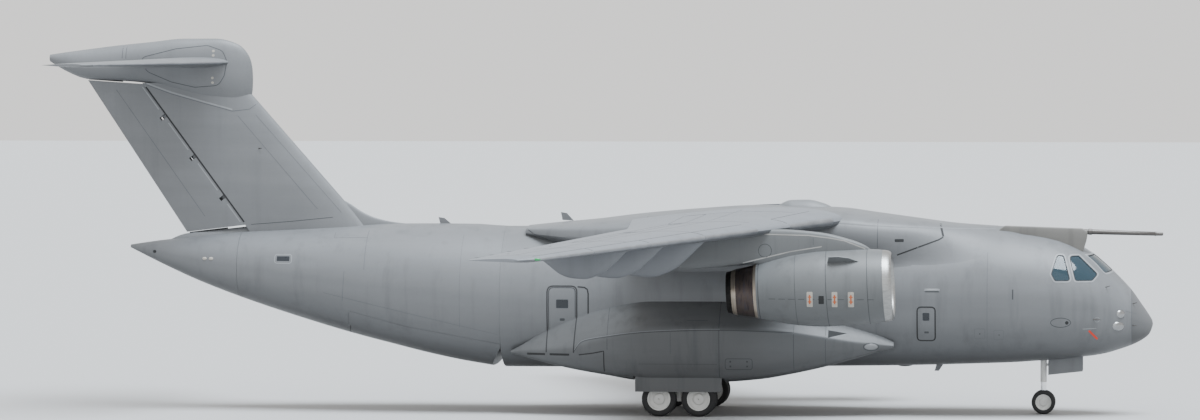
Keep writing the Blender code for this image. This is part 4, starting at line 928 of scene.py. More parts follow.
rings = []
for x in spread(FAIRING_FRONT, FAIRING_END, 0.3):
    quarter = fairing_side(x, 0.0, 1.0)
    rings.append([(x, y, z) for y, z in quarter] + [(x, -y, z) for y, z in reversed(quarter[:-1])])
dress(loft("wing_fairing_skin", rings), HULL_GREY, instead="wing_fairing")
print("fairing rings", len(rings))

# %% Fillet round the front of the fairing, and the dome
FILLET_FRONT, FILLET_AFT = 13.60, 1.50
FILLET_SINK, FILLET_WALL = 0.007, 0.08
# Station, top, half width
DOME = ((7.50, 6.42, 0.10), (7.15, 6.60, 0.34), (6.60, 6.72, 0.45), (6.10, 6.71, 0.42), (5.50, 6.45, 0.12))
DOME_FOOT = 6.2


def ease(share):
    """From 0 to 1 without a corner at either end."""
    share = min(max(share, 0.0), 1.0)
    return share * share * (3 - 2 * share)


def oval_reach(turn, across, up):
    """Distance from the middle of an oval to its edge, turned from straight up."""
    return 1 / math.hypot(math.sin(turn) / across, math.cos(turn) / up)


# Each ring follows the crown, and adds as much as the fairing stands out there, which fades at the ends
rings = []
for x in spread(FILLET_FRONT, FILLET_AFT, 0.12):
    crown, low, wide = (float(v) for v in hull_at(x))
    waist = low + WAIST * (crown - low)
    shoulder = [(y, z - waist) for y, z in fairing_side(min(x, FAIRING_FRONT), 1.0, 0.5)]
    turns, reaches = [math.atan2(y, z) for y, z in shoulder], [math.hypot(y, z) for y, z in shoulder]
    fade = math.radians(24 + 7 * max(x - 10.0, 0.0))
    outer, inner = [], []
    for degrees in spread(-84, 84, 3):
        a = abs(math.radians(degrees))
        skin_reach = oval_reach(a, wide, crown - waist)
        at = min(a, turns[-1])
        bump = float(np.interp(at, turns, reaches)) - oval_reach(at, wide, crown - waist)
        if a > turns[-1]:
            bump *= ease((x - FILLET_AFT) / 2.5) * (1 - ease((a - turns[-1]) / fade))
        reach = skin_reach + max(bump, 0.0) * (1 - ease((x - FAIRING_FRONT) / 0.95)) - FILLET_SINK
        for ring, radius in ((outer, reach), (inner, skin_reach - FILLET_WALL)):
            ring.append((x, math.copysign(radius * math.sin(a), degrees), waist + radius * math.cos(a)))
    rings.append(outer + inner[::-1])
dress(loft("wing_fairing_fillet", rings), HULL_GREY)


def half_round(x, half, base, top, step):
    """An arch over the crown at x."""
    return [(x, half * math.cos(a), base + (top - base) * math.sin(a)) for a in spread(0.0, math.pi, step)]


read_dome = smooth_table(sorted(DOME))
rings = []
for x in spread(DOME[0][0], DOME[-1][0], 0.08):
    top, half = read_dome(x)
    rings.append(half_round(x, half, DOME_FOOT, top, 0.16))
dress(loft("antenna_dome", rings), TAIL_GREY)
print("fillet and dome done")

# %% [markdown]
# ## Tail
# The fin is swept back and carries the tailplane in a bullet-shaped fairing. Rudder and elevators are
# made like the ailerons.

# %% Fin, rudder, tailplane and elevators
TAILPLANE = ((0.0, -11.75, -15.20, 11.06, 0.10), (6.05, -15.10, -16.62, 10.96, 0.09),
             (6.25, -15.40, -16.66, 10.96, 0.06))
FIN = ((5.20, -6.94, -13.04, 0.0, 0.11), (10.45, -11.57, -16.52, 0.0, 0.10),
       (10.60, -11.7023, -16.6194, 0.0, 0.0997))
RUDDER_SPANS, RUDDER_HINGE, RUDDER_STOCK = (5.55, 10.34), 0.66, 10.58
# Lower and upper edges of the rudder as x, z
RUDDER_FOOT = ((-11.42, 5.86), (-13.40, 5.62))
RUDDER_EDGE = ((-14.50, 10.350), (-16.55, 10.490))
ELEVATOR_SPAN, ELEVATOR_HINGE = (0.62, 5.98), 0.70
fin = loft("fin_skin", [section_ring(FIN, fin_place, span) for span in spread(5.25, 10.40, 0.4)])
start, end, lean = hinge_line(FIN, fin_place, RUDDER_HINGE, RUDDER_SPANS)
cut(fin, tail_piece("cutter", FIN, fin_place, (5.20, 10.45), RUDDER_HINGE, lean, SWING_GAP))
rudder = tail_piece("rudder_skin", FIN, fin_place, (RUDDER_SPANS[0], RUDDER_STOCK), RUDDER_HINGE, lean)
for ((xa, za), (xb, zb)), level in ((RUDDER_FOOT, 5.0), (RUDDER_EDGE, 11.5)):
    slope = (zb - za) / (xb - xa)
    beyond = ((xa + 1.5, za + 1.5 * slope), (xb - 1.5, zb - 1.5 * slope),
              (xb - 1.5, level), (xa + 1.5, level))
    cut(rudder, prism("cutter", beyond, "y", -1.0, 1.0))
hang(fin, rudder, start, end, (0.25, 0.52, 0.79), thick_at(FIN, 8.0, RUDDER_HINGE))
rudder_hinge = (start, end)
dress(fin, TAIL_GREY, instead="fin")
dress(rudder, TAIL_GREY, "rudder", instead="rudder")

rows = [(-row[0], *row[1:]) for row in reversed(TAILPLANE)] + list(TAILPLANE[1:])
spans = sorted({span for start, end, step in ((-6.25, -6.05, 0.1), (-6.05, 0.0, 0.5), (0.0, 6.05, 0.5),
                                              (6.05, 6.25, 0.1)) for span in spread(start, end, step)})
tailplane = loft("tailplane_skin", [section_ring(rows, wing_place(1), span) for span in spans])
for side, word in SIDES:
    place = wing_place(side)
    start, end, lean = hinge_line(TAILPLANE, place, ELEVATOR_HINGE, ELEVATOR_SPAN)
    inner = shorter(ELEVATOR_SPAN, END_GAP)
    elevator = tail_piece(f"elevator_skin_{word}", TAILPLANE, place, inner, ELEVATOR_HINGE, lean)
    cut(tailplane, tail_piece("cutter", TAILPLANE, place, ELEVATOR_SPAN, ELEVATOR_HINGE, lean, SWING_GAP))
    radius = thick_at(TAILPLANE, sum(ELEVATOR_SPAN) / 2, ELEVATOR_HINGE)
    hang(tailplane, elevator, start, end, (0.2, 0.8), radius)
    dress(elevator, TAIL_GREY, f"elevator_{word}", instead=f"elevator_{word}")
dress(tailplane, TAIL_GREY, instead="tailplane")
print("tailplane faces", len(tailplane.data.polygons))

# %% Bullet fairing
# Station, top, bottom, half width
BULLET = (
    (-11.20, 10.95, 10.05, 0.05), (-11.35, 11.35, 9.78, 0.17), (-11.70, 11.66, 9.60, 0.28),
    (-12.40, 11.82, 9.72, 0.38), (-13.40, 11.82, 10.03, 0.45), (-14.50, 11.71, 10.38, 0.46),
    (-15.50, 11.61, 10.47, 0.44), (-16.55, 11.48, 10.52, 0.38), (-17.30, 11.38, 10.80, 0.27),
    (-17.78, 11.31, 11.09, 0.10),
)
BULLET_TIP = (-11.17, 10.50)
read_bullet = smooth_table([(0.0, BULLET_TIP[1], BULLET_TIP[1], 0.0)]
                           + [(math.sqrt(BULLET_TIP[0] - x), *row) for x, *row in BULLET])
rings = []
for reach in spread(0.02, math.sqrt(BULLET_TIP[0] - BULLET[-1][0]), 0.05):
    top, low, half = read_bullet(reach)
    x, middle, tall = BULLET_TIP[0] - reach**2, (top + low) / 2, (top - low) / 2
    rings.append([(x, half * math.cos(a), middle + tall * math.sin(a)) for a in circle(64)])
bullet = dress(loft("tail_bullet_skin", rings), TAIL_GREY, instead="tail_bullet")
print("bullet faces", len(bullet.data.polygons))

# %% [markdown]
# ## Engines
# Every part of an engine is turned about the engine's axis, which rises a little towards the front. The
# inlet lip is bare metal, the duct behind it is painted grey, and the nozzle is three rings of
# heat-stained metal with a sooty rim. Turning an outline is the lathe's way, and gives true circles.

# %% Engine axis and turned shells
ENGINE_LIP, ENGINE_TILT = (9.62, 5.70, 4.26), math.radians(2.76)
# Distance behind the lip, radius
COWL = ((0.0, 0.97), (0.03, 1.03), (0.20, 1.09), (1.20, 1.16), (2.10, 1.16), (2.90, 1.09), (4.13, 0.83))
DUCT = ((0.0, 0.97), (0.03, 0.93), (0.10, 0.90), (0.90, 0.84), (2.60, 0.83), (4.13, 0.74))
read_cowl, read_duct = smooth_table(COWL), smooth_table(DUCT)
LIP_END, DUCT_END, COWL_END, COWL_WALL, DUCT_WALL = 0.26, 0.34, 4.13, 0.03, 0.02
ENGINE_SIDES = 96
# Name, start and end behind the lip, outer radii, inner radii
NOZZLE_RINGS = (
    ("front_ring", 4.13, 4.215, (0.828, 0.812), (0.75, 0.745), RING_METAL),
    ("hot_section", 4.215, 4.76, (0.806, 0.700), (0.745, 0.65), BURNT_METAL),
    ("rear_ring", 4.76, 4.90, (0.706, 0.664), (0.65, 0.625), RING_METAL),
    ("rim", 4.90, 5.06, (0.656, 0.620), (0.625, 0.59), SOOT_METAL),
)


def engine_frame(side):
    """From an engine's own axis, with +X forward from the lip, to the aircraft."""
    x, y, z = ENGINE_LIP
    return Matrix.Translation((x, side * y, z)) @ Matrix.Rotation(-ENGINE_TILT, 4, "Y")


def on_engine(obj, side):
    """Carry a piece to its engine."""
    obj.data.transform(engine_frame(side))
    return obj


def drawn(read, places):
    """Points of an engine outline at distances behind the lip."""
    return [(-d, float(read(d)[0])) for d in places]


def shell_of(name, outer, inner, start, end):
    """A turned shell between two distances behind the lip."""
    along = spread(start, end, 0.08)
    return turned(name, drawn(outer, along) + drawn(inner, reversed(along)), ENGINE_SIDES, closed=True)


for side, word in SIDES:
    lip_outline = drawn(read_cowl, spread(0.0, LIP_END, 0.02))
    lip_outline += [(-LIP_END, float(read_cowl(LIP_END)[0]) - COWL_WALL), (-DUCT_END, 0.93)]
    lip_outline += drawn(read_duct, [DUCT_END, *reversed(spread(0.02, DUCT_END - 0.02, 0.02))])
    lip = turned(f"inlet_lip_{word}", lip_outline, ENGINE_SIDES, closed=True)
    dress(on_engine(lip, side), LIP_METAL, sharp=40)
    cowl = shell_of(f"cowl_skin_{word}", read_cowl, lambda d: read_cowl(d) - COWL_WALL,
                    LIP_END + 0.003, COWL_END)
    dress(on_engine(cowl, side), COWL_GREY, instead=f"nacelle_{word}")
    duct = shell_of(f"inlet_duct_{word}", lambda d: read_duct(d) + DUCT_WALL, read_duct,
                    DUCT_END + 0.002, 4.12)
    dress(on_engine(duct, side), CABIN_GREY)
    for name, start, end, outer, inner, paint in NOZZLE_RINGS:
        outline = ((-start, outer[0]), (-end, outer[1]), (-end, inner[1]), (-start, inner[0]))
        ring = turned(f"nozzle_{name}_{word}", outline, ENGINE_SIDES, closed=True)
        dress(on_engine(ring, side), paint, instead=f"exhaust_nozzle_{word}", sharp=25)
print("engine shells done")

# %% [markdown]
# ## Fans and pylons
# A fan blade lies almost along the axis at its root and turns across it towards its tip, so it is lofted
# through slim ovals that turn on the way out, and repeated round the hub. The pylon that carries the
# engine is lofted through ovals with squared corners, which narrow towards both ends. Two tables give its
# upper and lower edges.

# %% Fan, spinner and pylon
BLADES, BLADE_AT, BLADE_THICK = 24, 1.14, 0.009
# Radius, chord, stagger in degrees
BLADE = ((0.22, 0.17, 28.0), (0.35, 0.19, 36.0), (0.50, 0.215, 45.0), (0.65, 0.23, 53.0), (0.812, 0.22, 60.0))
# Distance behind the lip, radius
SPINNER = ((1.56, 0.05), (1.30, 0.05), (1.30, 0.30), (1.10, 0.293), (0.98, 0.28), (0.86, 0.245),
           (0.75, 0.19), (0.66, 0.12), (0.615, 0.05), (0.60, 0.004))


def fan_blade(angle):
    """One twisted blade with a slim oval section."""
    rings = []
    for reach, chord, stagger in BLADE:
        ring, lean = [], math.radians(stagger)
        for a in circle(12):
            along, thick = math.cos(a) * chord / 2, math.sin(a) * BLADE_THICK
            x = along * math.cos(lean) - thick * math.sin(lean)
            y = along * math.sin(lean) + thick * math.cos(lean)
            spot = Vector((x - BLADE_AT, y, math.sqrt(max(reach**2 - y * y, 0.01))))
            ring.append(Matrix.Rotation(angle, 3, "X") @ spot)
        rings.append(ring)
    return loft("blade", rings)


# Station, height
PYLON_TOP = ((2.90, 5.84), (4.50, 5.90), (6.10, 5.96), (7.30, 5.88), (8.30, 5.66), (8.80, 5.46), (9.00, 5.30))
PYLON_LOW = ((2.90, 5.02), (3.20, 4.72), (4.40, 4.80), (5.45, 4.88), (5.60, 4.80), (9.00, 5.00))
PYLON_HALF = 0.22
read_top, read_low = smooth_table(PYLON_TOP), smooth_table(PYLON_LOW)
for side, word in SIDES:
    blades = merge("blades", [fan_blade(turn) for turn in circle(BLADES)])
    blades.name = f"fan_blades_{word}"
    dress(on_engine(blades, side), BLADE_METAL, f"fan_{word}", instead=f"fan_{word}")
    spinner = turned(f"spinner_{word}", [(-d, r) for d, r in SPINNER], 48)
    dress(on_engine(spinner, side), CABIN_GREY, f"fan_{word}", sharp=40)
    rings = []
    for x in spread(9.00, 2.90, 0.12):
        top, low = float(read_top(x)[0]), float(read_low(x)[0])
        share = min((9.02 - x) / 0.9, (x - 2.86) / 1.4, 1.0)
        half = PYLON_HALF * math.sqrt(max(share, 0.01) * (2 - share))
        middle, reach = (top + low) / 2, (top - low) / 2
        rings.append([(x, side * (ENGINE_LIP[1] + half * squarer(math.cos(a), 0.35)),
                       middle + reach * squarer(math.sin(a), 0.55)) for a in circle(32)])
    dress(loft(f"pylon_skin_{word}", rings), COWL_GREY, instead=f"pylon_{word}")
print("fan blades", BLADES)

# %% [markdown]
# ## Sponsons
# The main wheels fold into long blisters on the fuselage sides. The section has a sloping shoulder, a
# soft fold and a full lower side. Its corner points are blended with a curve before the loft.

# %% Sponsons
# Station, upper edge, fold, bottom, half width
SPONSON = (
    (9.45, 2.34, 2.22, 2.10, 2.24), (9.05, 2.52, 2.25, 2.03, 2.36), (8.12, 2.85, 2.33, 1.78, 2.62),
    (7.18, 3.10, 2.48, 1.53, 2.83), (6.25, 3.40, 2.60, 1.33, 2.98), (5.31, 3.57, 2.68, 1.17, 3.08),
    (4.07, 3.66, 2.72, 1.08, 3.14), (1.90, 3.66, 2.66, 1.08, 3.14), (0.31, 3.42, 2.36, 1.29, 2.98),
    (-0.62, 3.11, 2.10, 1.44, 2.76), (-1.47, 2.67, 2.03, 1.62, 2.50), (-2.20, 2.20, 1.99, 1.80, 2.22),
    (-2.59, 2.00, 1.96, 1.90, 2.08),
)
SPONSON_INNER = 1.30
# Corner points of the section, as shares of its width and height above and below the fold
SHOULDER, LOWER_SIDE = ((0.45, 0.32), (0.80, 0.68)), ((0.03, 0.35), (0.13, 0.70), (0.34, 0.92), (0.75, 1.0))
WELL_X, WELL_Y, WELL_TOP = (1.35, 4.20), (1.68, 2.82), 1.78
read_sponson = smooth_table(sorted(SPONSON))


def curve_through(points, steps):
    """A smooth open curve through points of the plane."""
    read = smooth_table([(i, *p) for i, p in enumerate(points)])
    return [tuple(read(s)) for s in spread(0, len(points) - 1, 1 / steps)]


def sponson_ring(x, side):
    """The sponson's section at x."""
    upper, fold, low, half = read_sponson(x)
    edge = min(2.12, half - 0.06)
    size = (half - SPONSON_INNER) / 1.85
    outline = [(edge, upper)]
    outline += [(edge + (half - edge) * a, upper - (upper - fold) * b) for a, b in SHOULDER]
    outline += [(half, fold)]
    outline += [(half - i * size, fold - (fold - low) * d) for i, d in LOWER_SIDE]
    outline = [(SPONSON_INNER, upper)] + curve_through(outline, 6) + [(SPONSON_INNER, low + 0.06)]
    return [(x, side * y, z) for y, z in outline]


sponsons = {}
for side, word in SIDES:
    sponson = loft(f"sponson_skin_{word}", [sponson_ring(x, side) for x in spread(9.45, -2.59, 0.2)])
    near, far = through(side, *WELL_Y)
    cut(sponson, block("cutter", (WELL_X[0], near, 0.5), (WELL_X[1], far, WELL_TOP)))
    sponsons[word] = dress(sponson, SPONSON_GREY_SHADED, instead=f"sponson_{word}")
print("sponson faces", {word: len(s.data.polygons) for word, s in sponsons.items()})

# %% [markdown]
# ## Wheels
# A tyre is a turned outline with round shoulders and rain grooves. The rim inside it is white and
# dished, with a ring of bolts.

# %% Tyres and rims
GEAR_X, GEAR_Y, BOLTS = 2.77, 2.25, 10
# Place across the tyre as a share of its width, and radius as a share of the tyre's
TREAD = (
    (-0.50, 0.72), (-0.50, 0.86), (-0.44, 0.955), (-0.34, 0.992), (-0.20, 1.0), (-0.19, 0.972),
    (-0.13, 0.972), (-0.12, 1.0), (0.12, 1.0), (0.13, 0.972), (0.19, 0.972), (0.20, 1.0),
    (0.34, 0.992), (0.44, 0.955), (0.50, 0.86), (0.50, 0.72), (0.42, 0.66), (-0.42, 0.66),
)
# The same for the dish of a rim, with shares of the rim's radius, and the bore's radius in metres
DISH, BORE = ((0.42, 1.0), (0.40, 0.90), (0.20, 0.84), (0.12, 0.55), (0.30, 0.42), (0.34, 0.22)), 0.02


def wheel_pair(name, centre, tyre, rim, half_out, half_in, body, instead):
    """Twin tyres and rims on one axle, turned about y."""
    wide = half_out - half_in
    middle = (half_out + half_in) / 2
    tyres, rims = [], []
    for side in (1, -1):
        tread = [(side * middle + a * wide, r * tyre) for a, r in TREAD]
        tyres.append(turned("tyre", tread, 72, closed=True))
        dish = [(a, rim * r) for a, r in DISH]
        dish += [(DISH[-1][0], BORE), (-DISH[0][0], BORE), (-DISH[0][0], rim)]
        rims.append(turned("rim", [(side * (middle + a * wide), r) for a, r in dish], 48, closed=True))
        for a in circle(BOLTS):
            spot = Vector((side * (middle + 0.10 * wide), rim * 0.68 * math.cos(a), rim * 0.68 * math.sin(a)))
            rims.append(rod("bolt", spot, spot + Vector((side * wide * 0.12, 0, 0)), rim * 0.055, 8))
    reach, thick = half_in + 0.3 * wide, 0.070 if tyre > 0.4 else 0.040
    rims.append(rod("axle", (-reach, 0, 0), (reach, 0, 0), thick))
    turn = Matrix.Translation(centre) @ Matrix.Rotation(math.pi / 2, 4, "Z")
    pair, hubs = merge(f"{name}_tyres", tyres), merge(f"{name}_rims", rims)
    pair.data.transform(turn)
    hubs.data.transform(turn)
    dress(pair, RUBBER_BLACK, body, instead=instead, sharp=50)
    dress(hubs, WHITE_PAINT, body, sharp=30)


for side, word in SIDES:
    for offset, place in ((0.62, "front"), (-0.62, "rear")):
        node = f"main_wheels_{place}_{word}"
        wheel_pair(node, (GEAR_X + offset, side * GEAR_Y, 0.545), 0.545, 0.36, 0.43, 0.11, node, node)
wheel_pair("nose_wheels", (14.05, 0.0, 0.375), 0.375, 0.25, 0.28, 0.07, "nose_wheels", "nose_wheels")
print("wheels done")

# %% [markdown]
# ## Ridges and the refuelling probe
# The fin stands on the crown with a small fillet ahead of it and a fixed foot under the rudder. Both are
# half-round ridges that sink into the hull. The probe is a tapered tube with two collars, and it comes
# out of a slim fairing with rounded edges.

# %% Ridges and rudder seals
# x, height of the ridge, half width
FIN_FILLET = ((-6.10, 5.91, 0.02), (-6.60, 5.965, 0.05), (-7.20, 6.10, 0.08), (-7.65, 6.30, 0.10),
              (-8.05, 6.56, 0.10), (-8.35, 6.72, 0.07))
FIN_FOOT = ((-10.80, 5.72, 0.06), (-11.05, 5.85, 0.13), (-11.42, 5.805, 0.17), (-12.40, 5.69, 0.17),
            (-13.40, 5.57, 0.15), (-13.80, 5.42, 0.10), (-14.02, 5.31, 0.03))
RIDGE_SINK = 0.25


def ridge(name, rows):
    """A half-round ridge that sinks into the hull."""
    read, rings = smooth_table(sorted(rows)), []
    for x in spread(rows[0][0], rows[-1][0], 0.06):
        top, half = (float(v) for v in read(x))
        rings.append(half_round(x, half, float(hull_at(x)[0]) - RIDGE_SINK, top, 0.2))
    return loft(name, rings)


dress(ridge("fin_fillet", FIN_FILLET), TAIL_GREY)
dress(ridge("fin_foot", FIN_FOOT), TAIL_GREY)
# Rubber seals close the rear of the gaps above and below the rudder. Nearer the hinge, the rudder sweeps
# the gap as it swings. Rudder edge, start and end, depth away from the rudder, gap to it
SEALS = ((RUDDER_FOOT, -12.00, -13.24, -0.15, 0.012), (RUDDER_EDGE, -15.40, -16.50, 0.12, 0.020))
SEAL_HALF = 0.02
seals = []
for ((x, z), (far_x, far_z)), first, last, deep, clear_by in SEALS:
    off, slope = math.copysign(clear_by, deep), (far_z - z) / (far_x - x)
    near_edge = [(at, z + slope * (at - x) + off) for at in (first, last)]
    far_edge = [(at, up + deep) for at, up in reversed(near_edge)]
    seals.append(prism("seal", near_edge + far_edge, "y", -SEAL_HALF, SEAL_HALF))
dress(merge("rudder_seals", seals), RUBBER_BLACK)
print("ridges done")

# %% Probe
PROBE_Y, PROBE_HALF, PROBE_EDGE = -0.60, 0.12, 0.045
PROBE_FAIRING = ((12.65, 5.80), (12.85, 5.94), (15.26, 5.86), (15.44, 5.77), (15.40, 5.50), (15.25, 5.00),
                 (12.65, 5.00))
PROBE_ROOT, PROBE_TIP = (15.20, 5.76), (17.78, 5.69)
# Distance from the root, radius
PROBE_TUBE = ((0.0, 0.080), (0.24, 0.080), (0.25, 0.096), (0.36, 0.096), (0.37, 0.079), (1.50, 0.070),
              (2.30, 0.063), (2.31, 0.068), (2.36, 0.068), (2.37, 0.062), (2.52, 0.058), (2.56, 0.050),
              (2.5809, 0.030))


def grown(outline, distance):
    """A convex outline set out by a distance, or in by a negative one."""
    middle = sum((Vector(p) for p in outline), Vector((0.0, 0.0))) / len(outline)
    result = []
    for i, corner in enumerate(outline):
        here = Vector(corner)
        sides = []
        for a, b in ((Vector(outline[i - 1]), here), (here, Vector(outline[(i + 1) % len(outline)]))):
            out = Vector(((b - a).y, -(b - a).x)).normalized()
            sides.append(out if out.dot(here - middle) > 0 else -out)
        bisector = (sides[0] + sides[1]).normalized()
        result.append(tuple(here + bisector * (distance / max(bisector.dot(sides[0]), 0.4))))
    return result


rings = []
for share in (-1.0, -0.92, -0.75, -0.5, 0.5, 0.75, 0.92, 1.0):
    inset = PROBE_EDGE * (1 - math.sqrt(max(1 - max(abs(share) - 0.5, 0.0) ** 2 * 4, 0.0)))
    outline = rounded(grown(PROBE_FAIRING, -inset - 0.001), 0.10)
    rings.append([(x, PROBE_Y + PROBE_HALF * share, z) for x, z in outline])
probe_fairing = loft("probe_fairing", rings)
cut(probe_fairing, hull_solid("cutter", 16.0, 12.0, 0.01))
dress(probe_fairing, PROBE_PAINT, instead="refuelling_probe")
start, end = (Vector((x, PROBE_Y, z)) for x, z in (PROBE_ROOT, PROBE_TIP))
dress(aim(turned("probe_tube", PROBE_TUBE, 48), start, end), PROBE_METAL, sharp=30)
print("probe length", round((end - start).length, 3))

# %% [markdown]
# ## Drawing on a skin
# Panel lines, door outlines and small plates follow a curved skin. An image could draw them, but it
# blurs close up and is not a shape. Here a line drawn flat is cast onto the skin, as a slide projector
# would, and becomes a thin strip that stands two or three millimetres proud.

# %% Casting onto a skin
STRIP_LIFT, STRIP_SINK = 0.0025, 0.005
# From where a view casts, and which way
VIEWS = {
    "left": (lambda a, b: (a, 14.0, b), Vector((0, -1, 0))),
    "right": (lambda a, b: (a, -14.0, b), Vector((0, 1, 0))),
    "top": (lambda a, b: (a, b, 20.0), Vector((0, 0, -1))),
    "below": (lambda a, b: (a, b, -3.0), Vector((0, 0, 1))),
}
STRIP_STEP, PLATE_STEP = 0.07, 0.045


def skin_of(*names):
    """A tree of faces that lines can be cast onto."""
    points, faces = [], []
    for name in names:
        mesh, base = bpy.data.objects[name].data, len(points)
        points += [v.co.copy() for v in mesh.vertices]
        faces += [tuple(base + i for i in face.vertices) for face in mesh.polygons]
    return BVHTree.FromPolygons(points, faces)


def cast(tree, view, a, b):
    """Where a drawn point lands on the skin, and which way the skin faces there."""
    place, toward = VIEWS[view]
    spot, facing, _, _ = tree.ray_cast(Vector(place(a, b)), toward)
    if spot is None:
        return None
    return spot, facing if facing.dot(toward) < 0 else -facing


def fine(path, closed, step):
    """A path with points no further apart than step."""
    ends, drawn = list(path) + ([path[0]] if closed else []), []
    for a, b in zip(ends, ends[1:]):
        count = max(1, math.ceil(math.dist(a, b) / step))
        drawn += [tuple(p + (q - p) * i / count for p, q in zip(a, b)) for i in range(count)]
    return drawn + ([] if closed else [ends[-1]])


def strip(tree, view, path, width, closed=False, lift=STRIP_LIFT):
    """A thin band along a drawn path."""
    landed = [hit for hit in (cast(tree, view, a, b) for a, b in fine(path, closed, STRIP_STEP)) if hit]
    if len(landed) < 2:
        return None
    rings = []
    for i, (spot, facing) in enumerate(landed):
        before = landed[i - 1][0] if closed or i else spot
        after = landed[(i + 1) % len(landed)][0] if closed or i + 1 < len(landed) else spot
        across = facing.cross(after - before).normalized() * width / 2
        rings.append([spot + across + facing * lift, spot - across + facing * lift,
                      spot - across - facing * STRIP_SINK, spot + across - facing * STRIP_SINK])
    return loft("strip", rings, closed)


def plate(tree, view, outline, proud=0.0, lift=0.003):
    """A thin plate, or with proud a domed one, that follows the skin inside a drawn outline."""
    outline = fine(outline, True, PLATE_STEP)
    middle = [sum(p[i] for p in outline) / len(outline) for i in (0, 1)]
    rings = []
    for share, rise in ((1.0, -STRIP_SINK), *((share, lift) for share in (1.0, 0.85, 0.6, 0.3, 0.04))):
        ring = []
        for a, b in outline:
            hit = cast(tree, view, middle[0] + (a - middle[0]) * share, middle[1] + (b - middle[1]) * share)
            if hit is None:
                return None
            up = rise + (proud * math.sqrt(1 - share**2) if rise > 0 else 0.0)
            ring.append(hit[0] + hit[1] * up)
        rings.append(ring)
    return loft("plate", rings)


def stub(tree, view, a, b, length, radius, lean=0.0):
    """A small probe that stands on the skin and may lean forward."""
    spot, facing = cast(tree, view, a, b)
    tip = (facing * (1 - lean) + Vector((1, 0, 0)) * lean).normalized() * length
    return rod("stub", spot - facing * 0.01, spot + tip, radius, 12, radius * 0.6)


def box_outline(low_a, low_b, high_a, high_b, radius=0.0):
    """A rectangle in the drawing, with round corners where a radius is given."""
    corners = [(low_a, low_b), (high_a, low_b), (high_a, high_b), (low_a, high_b)]
    return rounded(corners, radius) if radius else corners


def oval(a, b, half_a, half_b, steps=28):
    """An oval in the drawing."""
    return [(a + half_a * math.cos(turn), b + half_b * math.sin(turn)) for turn in circle(steps)]


def fit(name, paint, pieces, body="airframe"):
    """Join small pieces of one finish into one object."""
    return dress(merge(name, [piece for piece in pieces if piece]), paint, body)


def strips(tree, lines, views):
    """Bands along several drawn paths, each with its width, in every view."""
    return [strip(tree, view, path, width, *more) for path, width, *more in lines for view in views]


HULL_SKIN = skin_of("nose_radome", "cockpit_skin", "forward_skin", "centre_skin", "tail_skin",
                    "tail_cone_skin", "wing_fairing_skin", "wing_fairing_fillet")
DOOR_SKIN = skin_of("paratroop_door_leaf_left", "paratroop_door_leaf_right")
SPONSON_SKIN = skin_of("sponson_skin_left", "sponson_skin_right")
COWL_SKIN = skin_of("cowl_skin_left", "cowl_skin_right")
PYLON_SKIN = skin_of("pylon_skin_left", "pylon_skin_right")
FIN_SKIN = skin_of("fin_skin")
RUDDER_SKIN = skin_of("rudder_skin")
BULLET_SKIN = skin_of("tail_bullet_skin")
TAIL_SKIN = skin_of("fin_skin", "tail_bullet_skin")
WING_SKIN = skin_of("wing_skin_left", "wing_skin_right")
print("skins ready")

# %% [markdown]
# ## Lines and marks on the fuselage
# The barrels meet at seams that run right round. Hatches, panels and vents are outlines on the sides.
# The nose carries small probes and two bright domes.

# %% Seams round the fuselage


def hull_band(x, width):
    """A band right round the fuselage."""
    front, aft = x + width / 2, x - width / 2
    rows = ((front, -STRIP_LIFT), (aft, -STRIP_LIFT), (aft, STRIP_SINK), (front, STRIP_SINK))
    return loft("band", [hull_ring(at, inset) for at, inset in rows], closed=True)


HULL_SEAMS = ((RADOME_AFT, 0.016), (COCKPIT_AFT, 0.012), (FORWARD_AFT, 0.012))
fit("hull_seams", SEAM_SOFT, [hull_band(x, wide) for x, wide in HULL_SEAMS])
print("seams done")

# %% Lines on the fuselage sides
BOTH, RIGHT = ("left", "right"), ("right",)
# Views, path of x and z, closed, width
HULL_BLACK = (
    (BOTH, ((10.86, 6.00), (10.96, 5.62)), False, 0.070),
    (BOTH, ((10.96, 5.60), (10.82, 5.52), (10.30, 5.33), (9.54, 5.05)), False, 0.045),
    (RIGHT, box_outline(10.18, 2.39, 10.74, 3.44, 0.13), True, 0.044),
    (BOTH, box_outline(-1.42, 1.99, -0.48, 4.04, 0.19), True, 0.042),
    (BOTH, ((-0.46, 4.02), (-0.24, 4.00), (-0.15, 3.94), (-0.12, 3.80), (-0.12, 2.90)), False, 0.044),
)
HULL_DARK = (
    (BOTH, ((13.14, 3.69), (13.14, 4.00)), False, 0.040),
    (BOTH, ((8.94, 5.27), (8.94, 6.15)), False, 0.014),
    (BOTH, ((1.69, 6.02), (1.69, 6.26)), False, 0.030),
    (BOTH, ((1.69, 6.04), (1.27, 5.86)), False, 0.030),
    (BOTH, ((-2.20, 5.80), (-1.95, 5.64), (-1.50, 5.47)), False, 0.030),
    (BOTH, oval(14.62, 2.965, 0.31, 0.145), True, 0.022),
    (BOTH, ((10.42, 3.92), (10.86, 3.92)), False, 0.030),
    (BOTH, ((12.10, 2.61), (12.14, 2.61)), False, 0.035),
    (BOTH, ((12.70, 2.58), (12.74, 2.58)), False, 0.030),
)
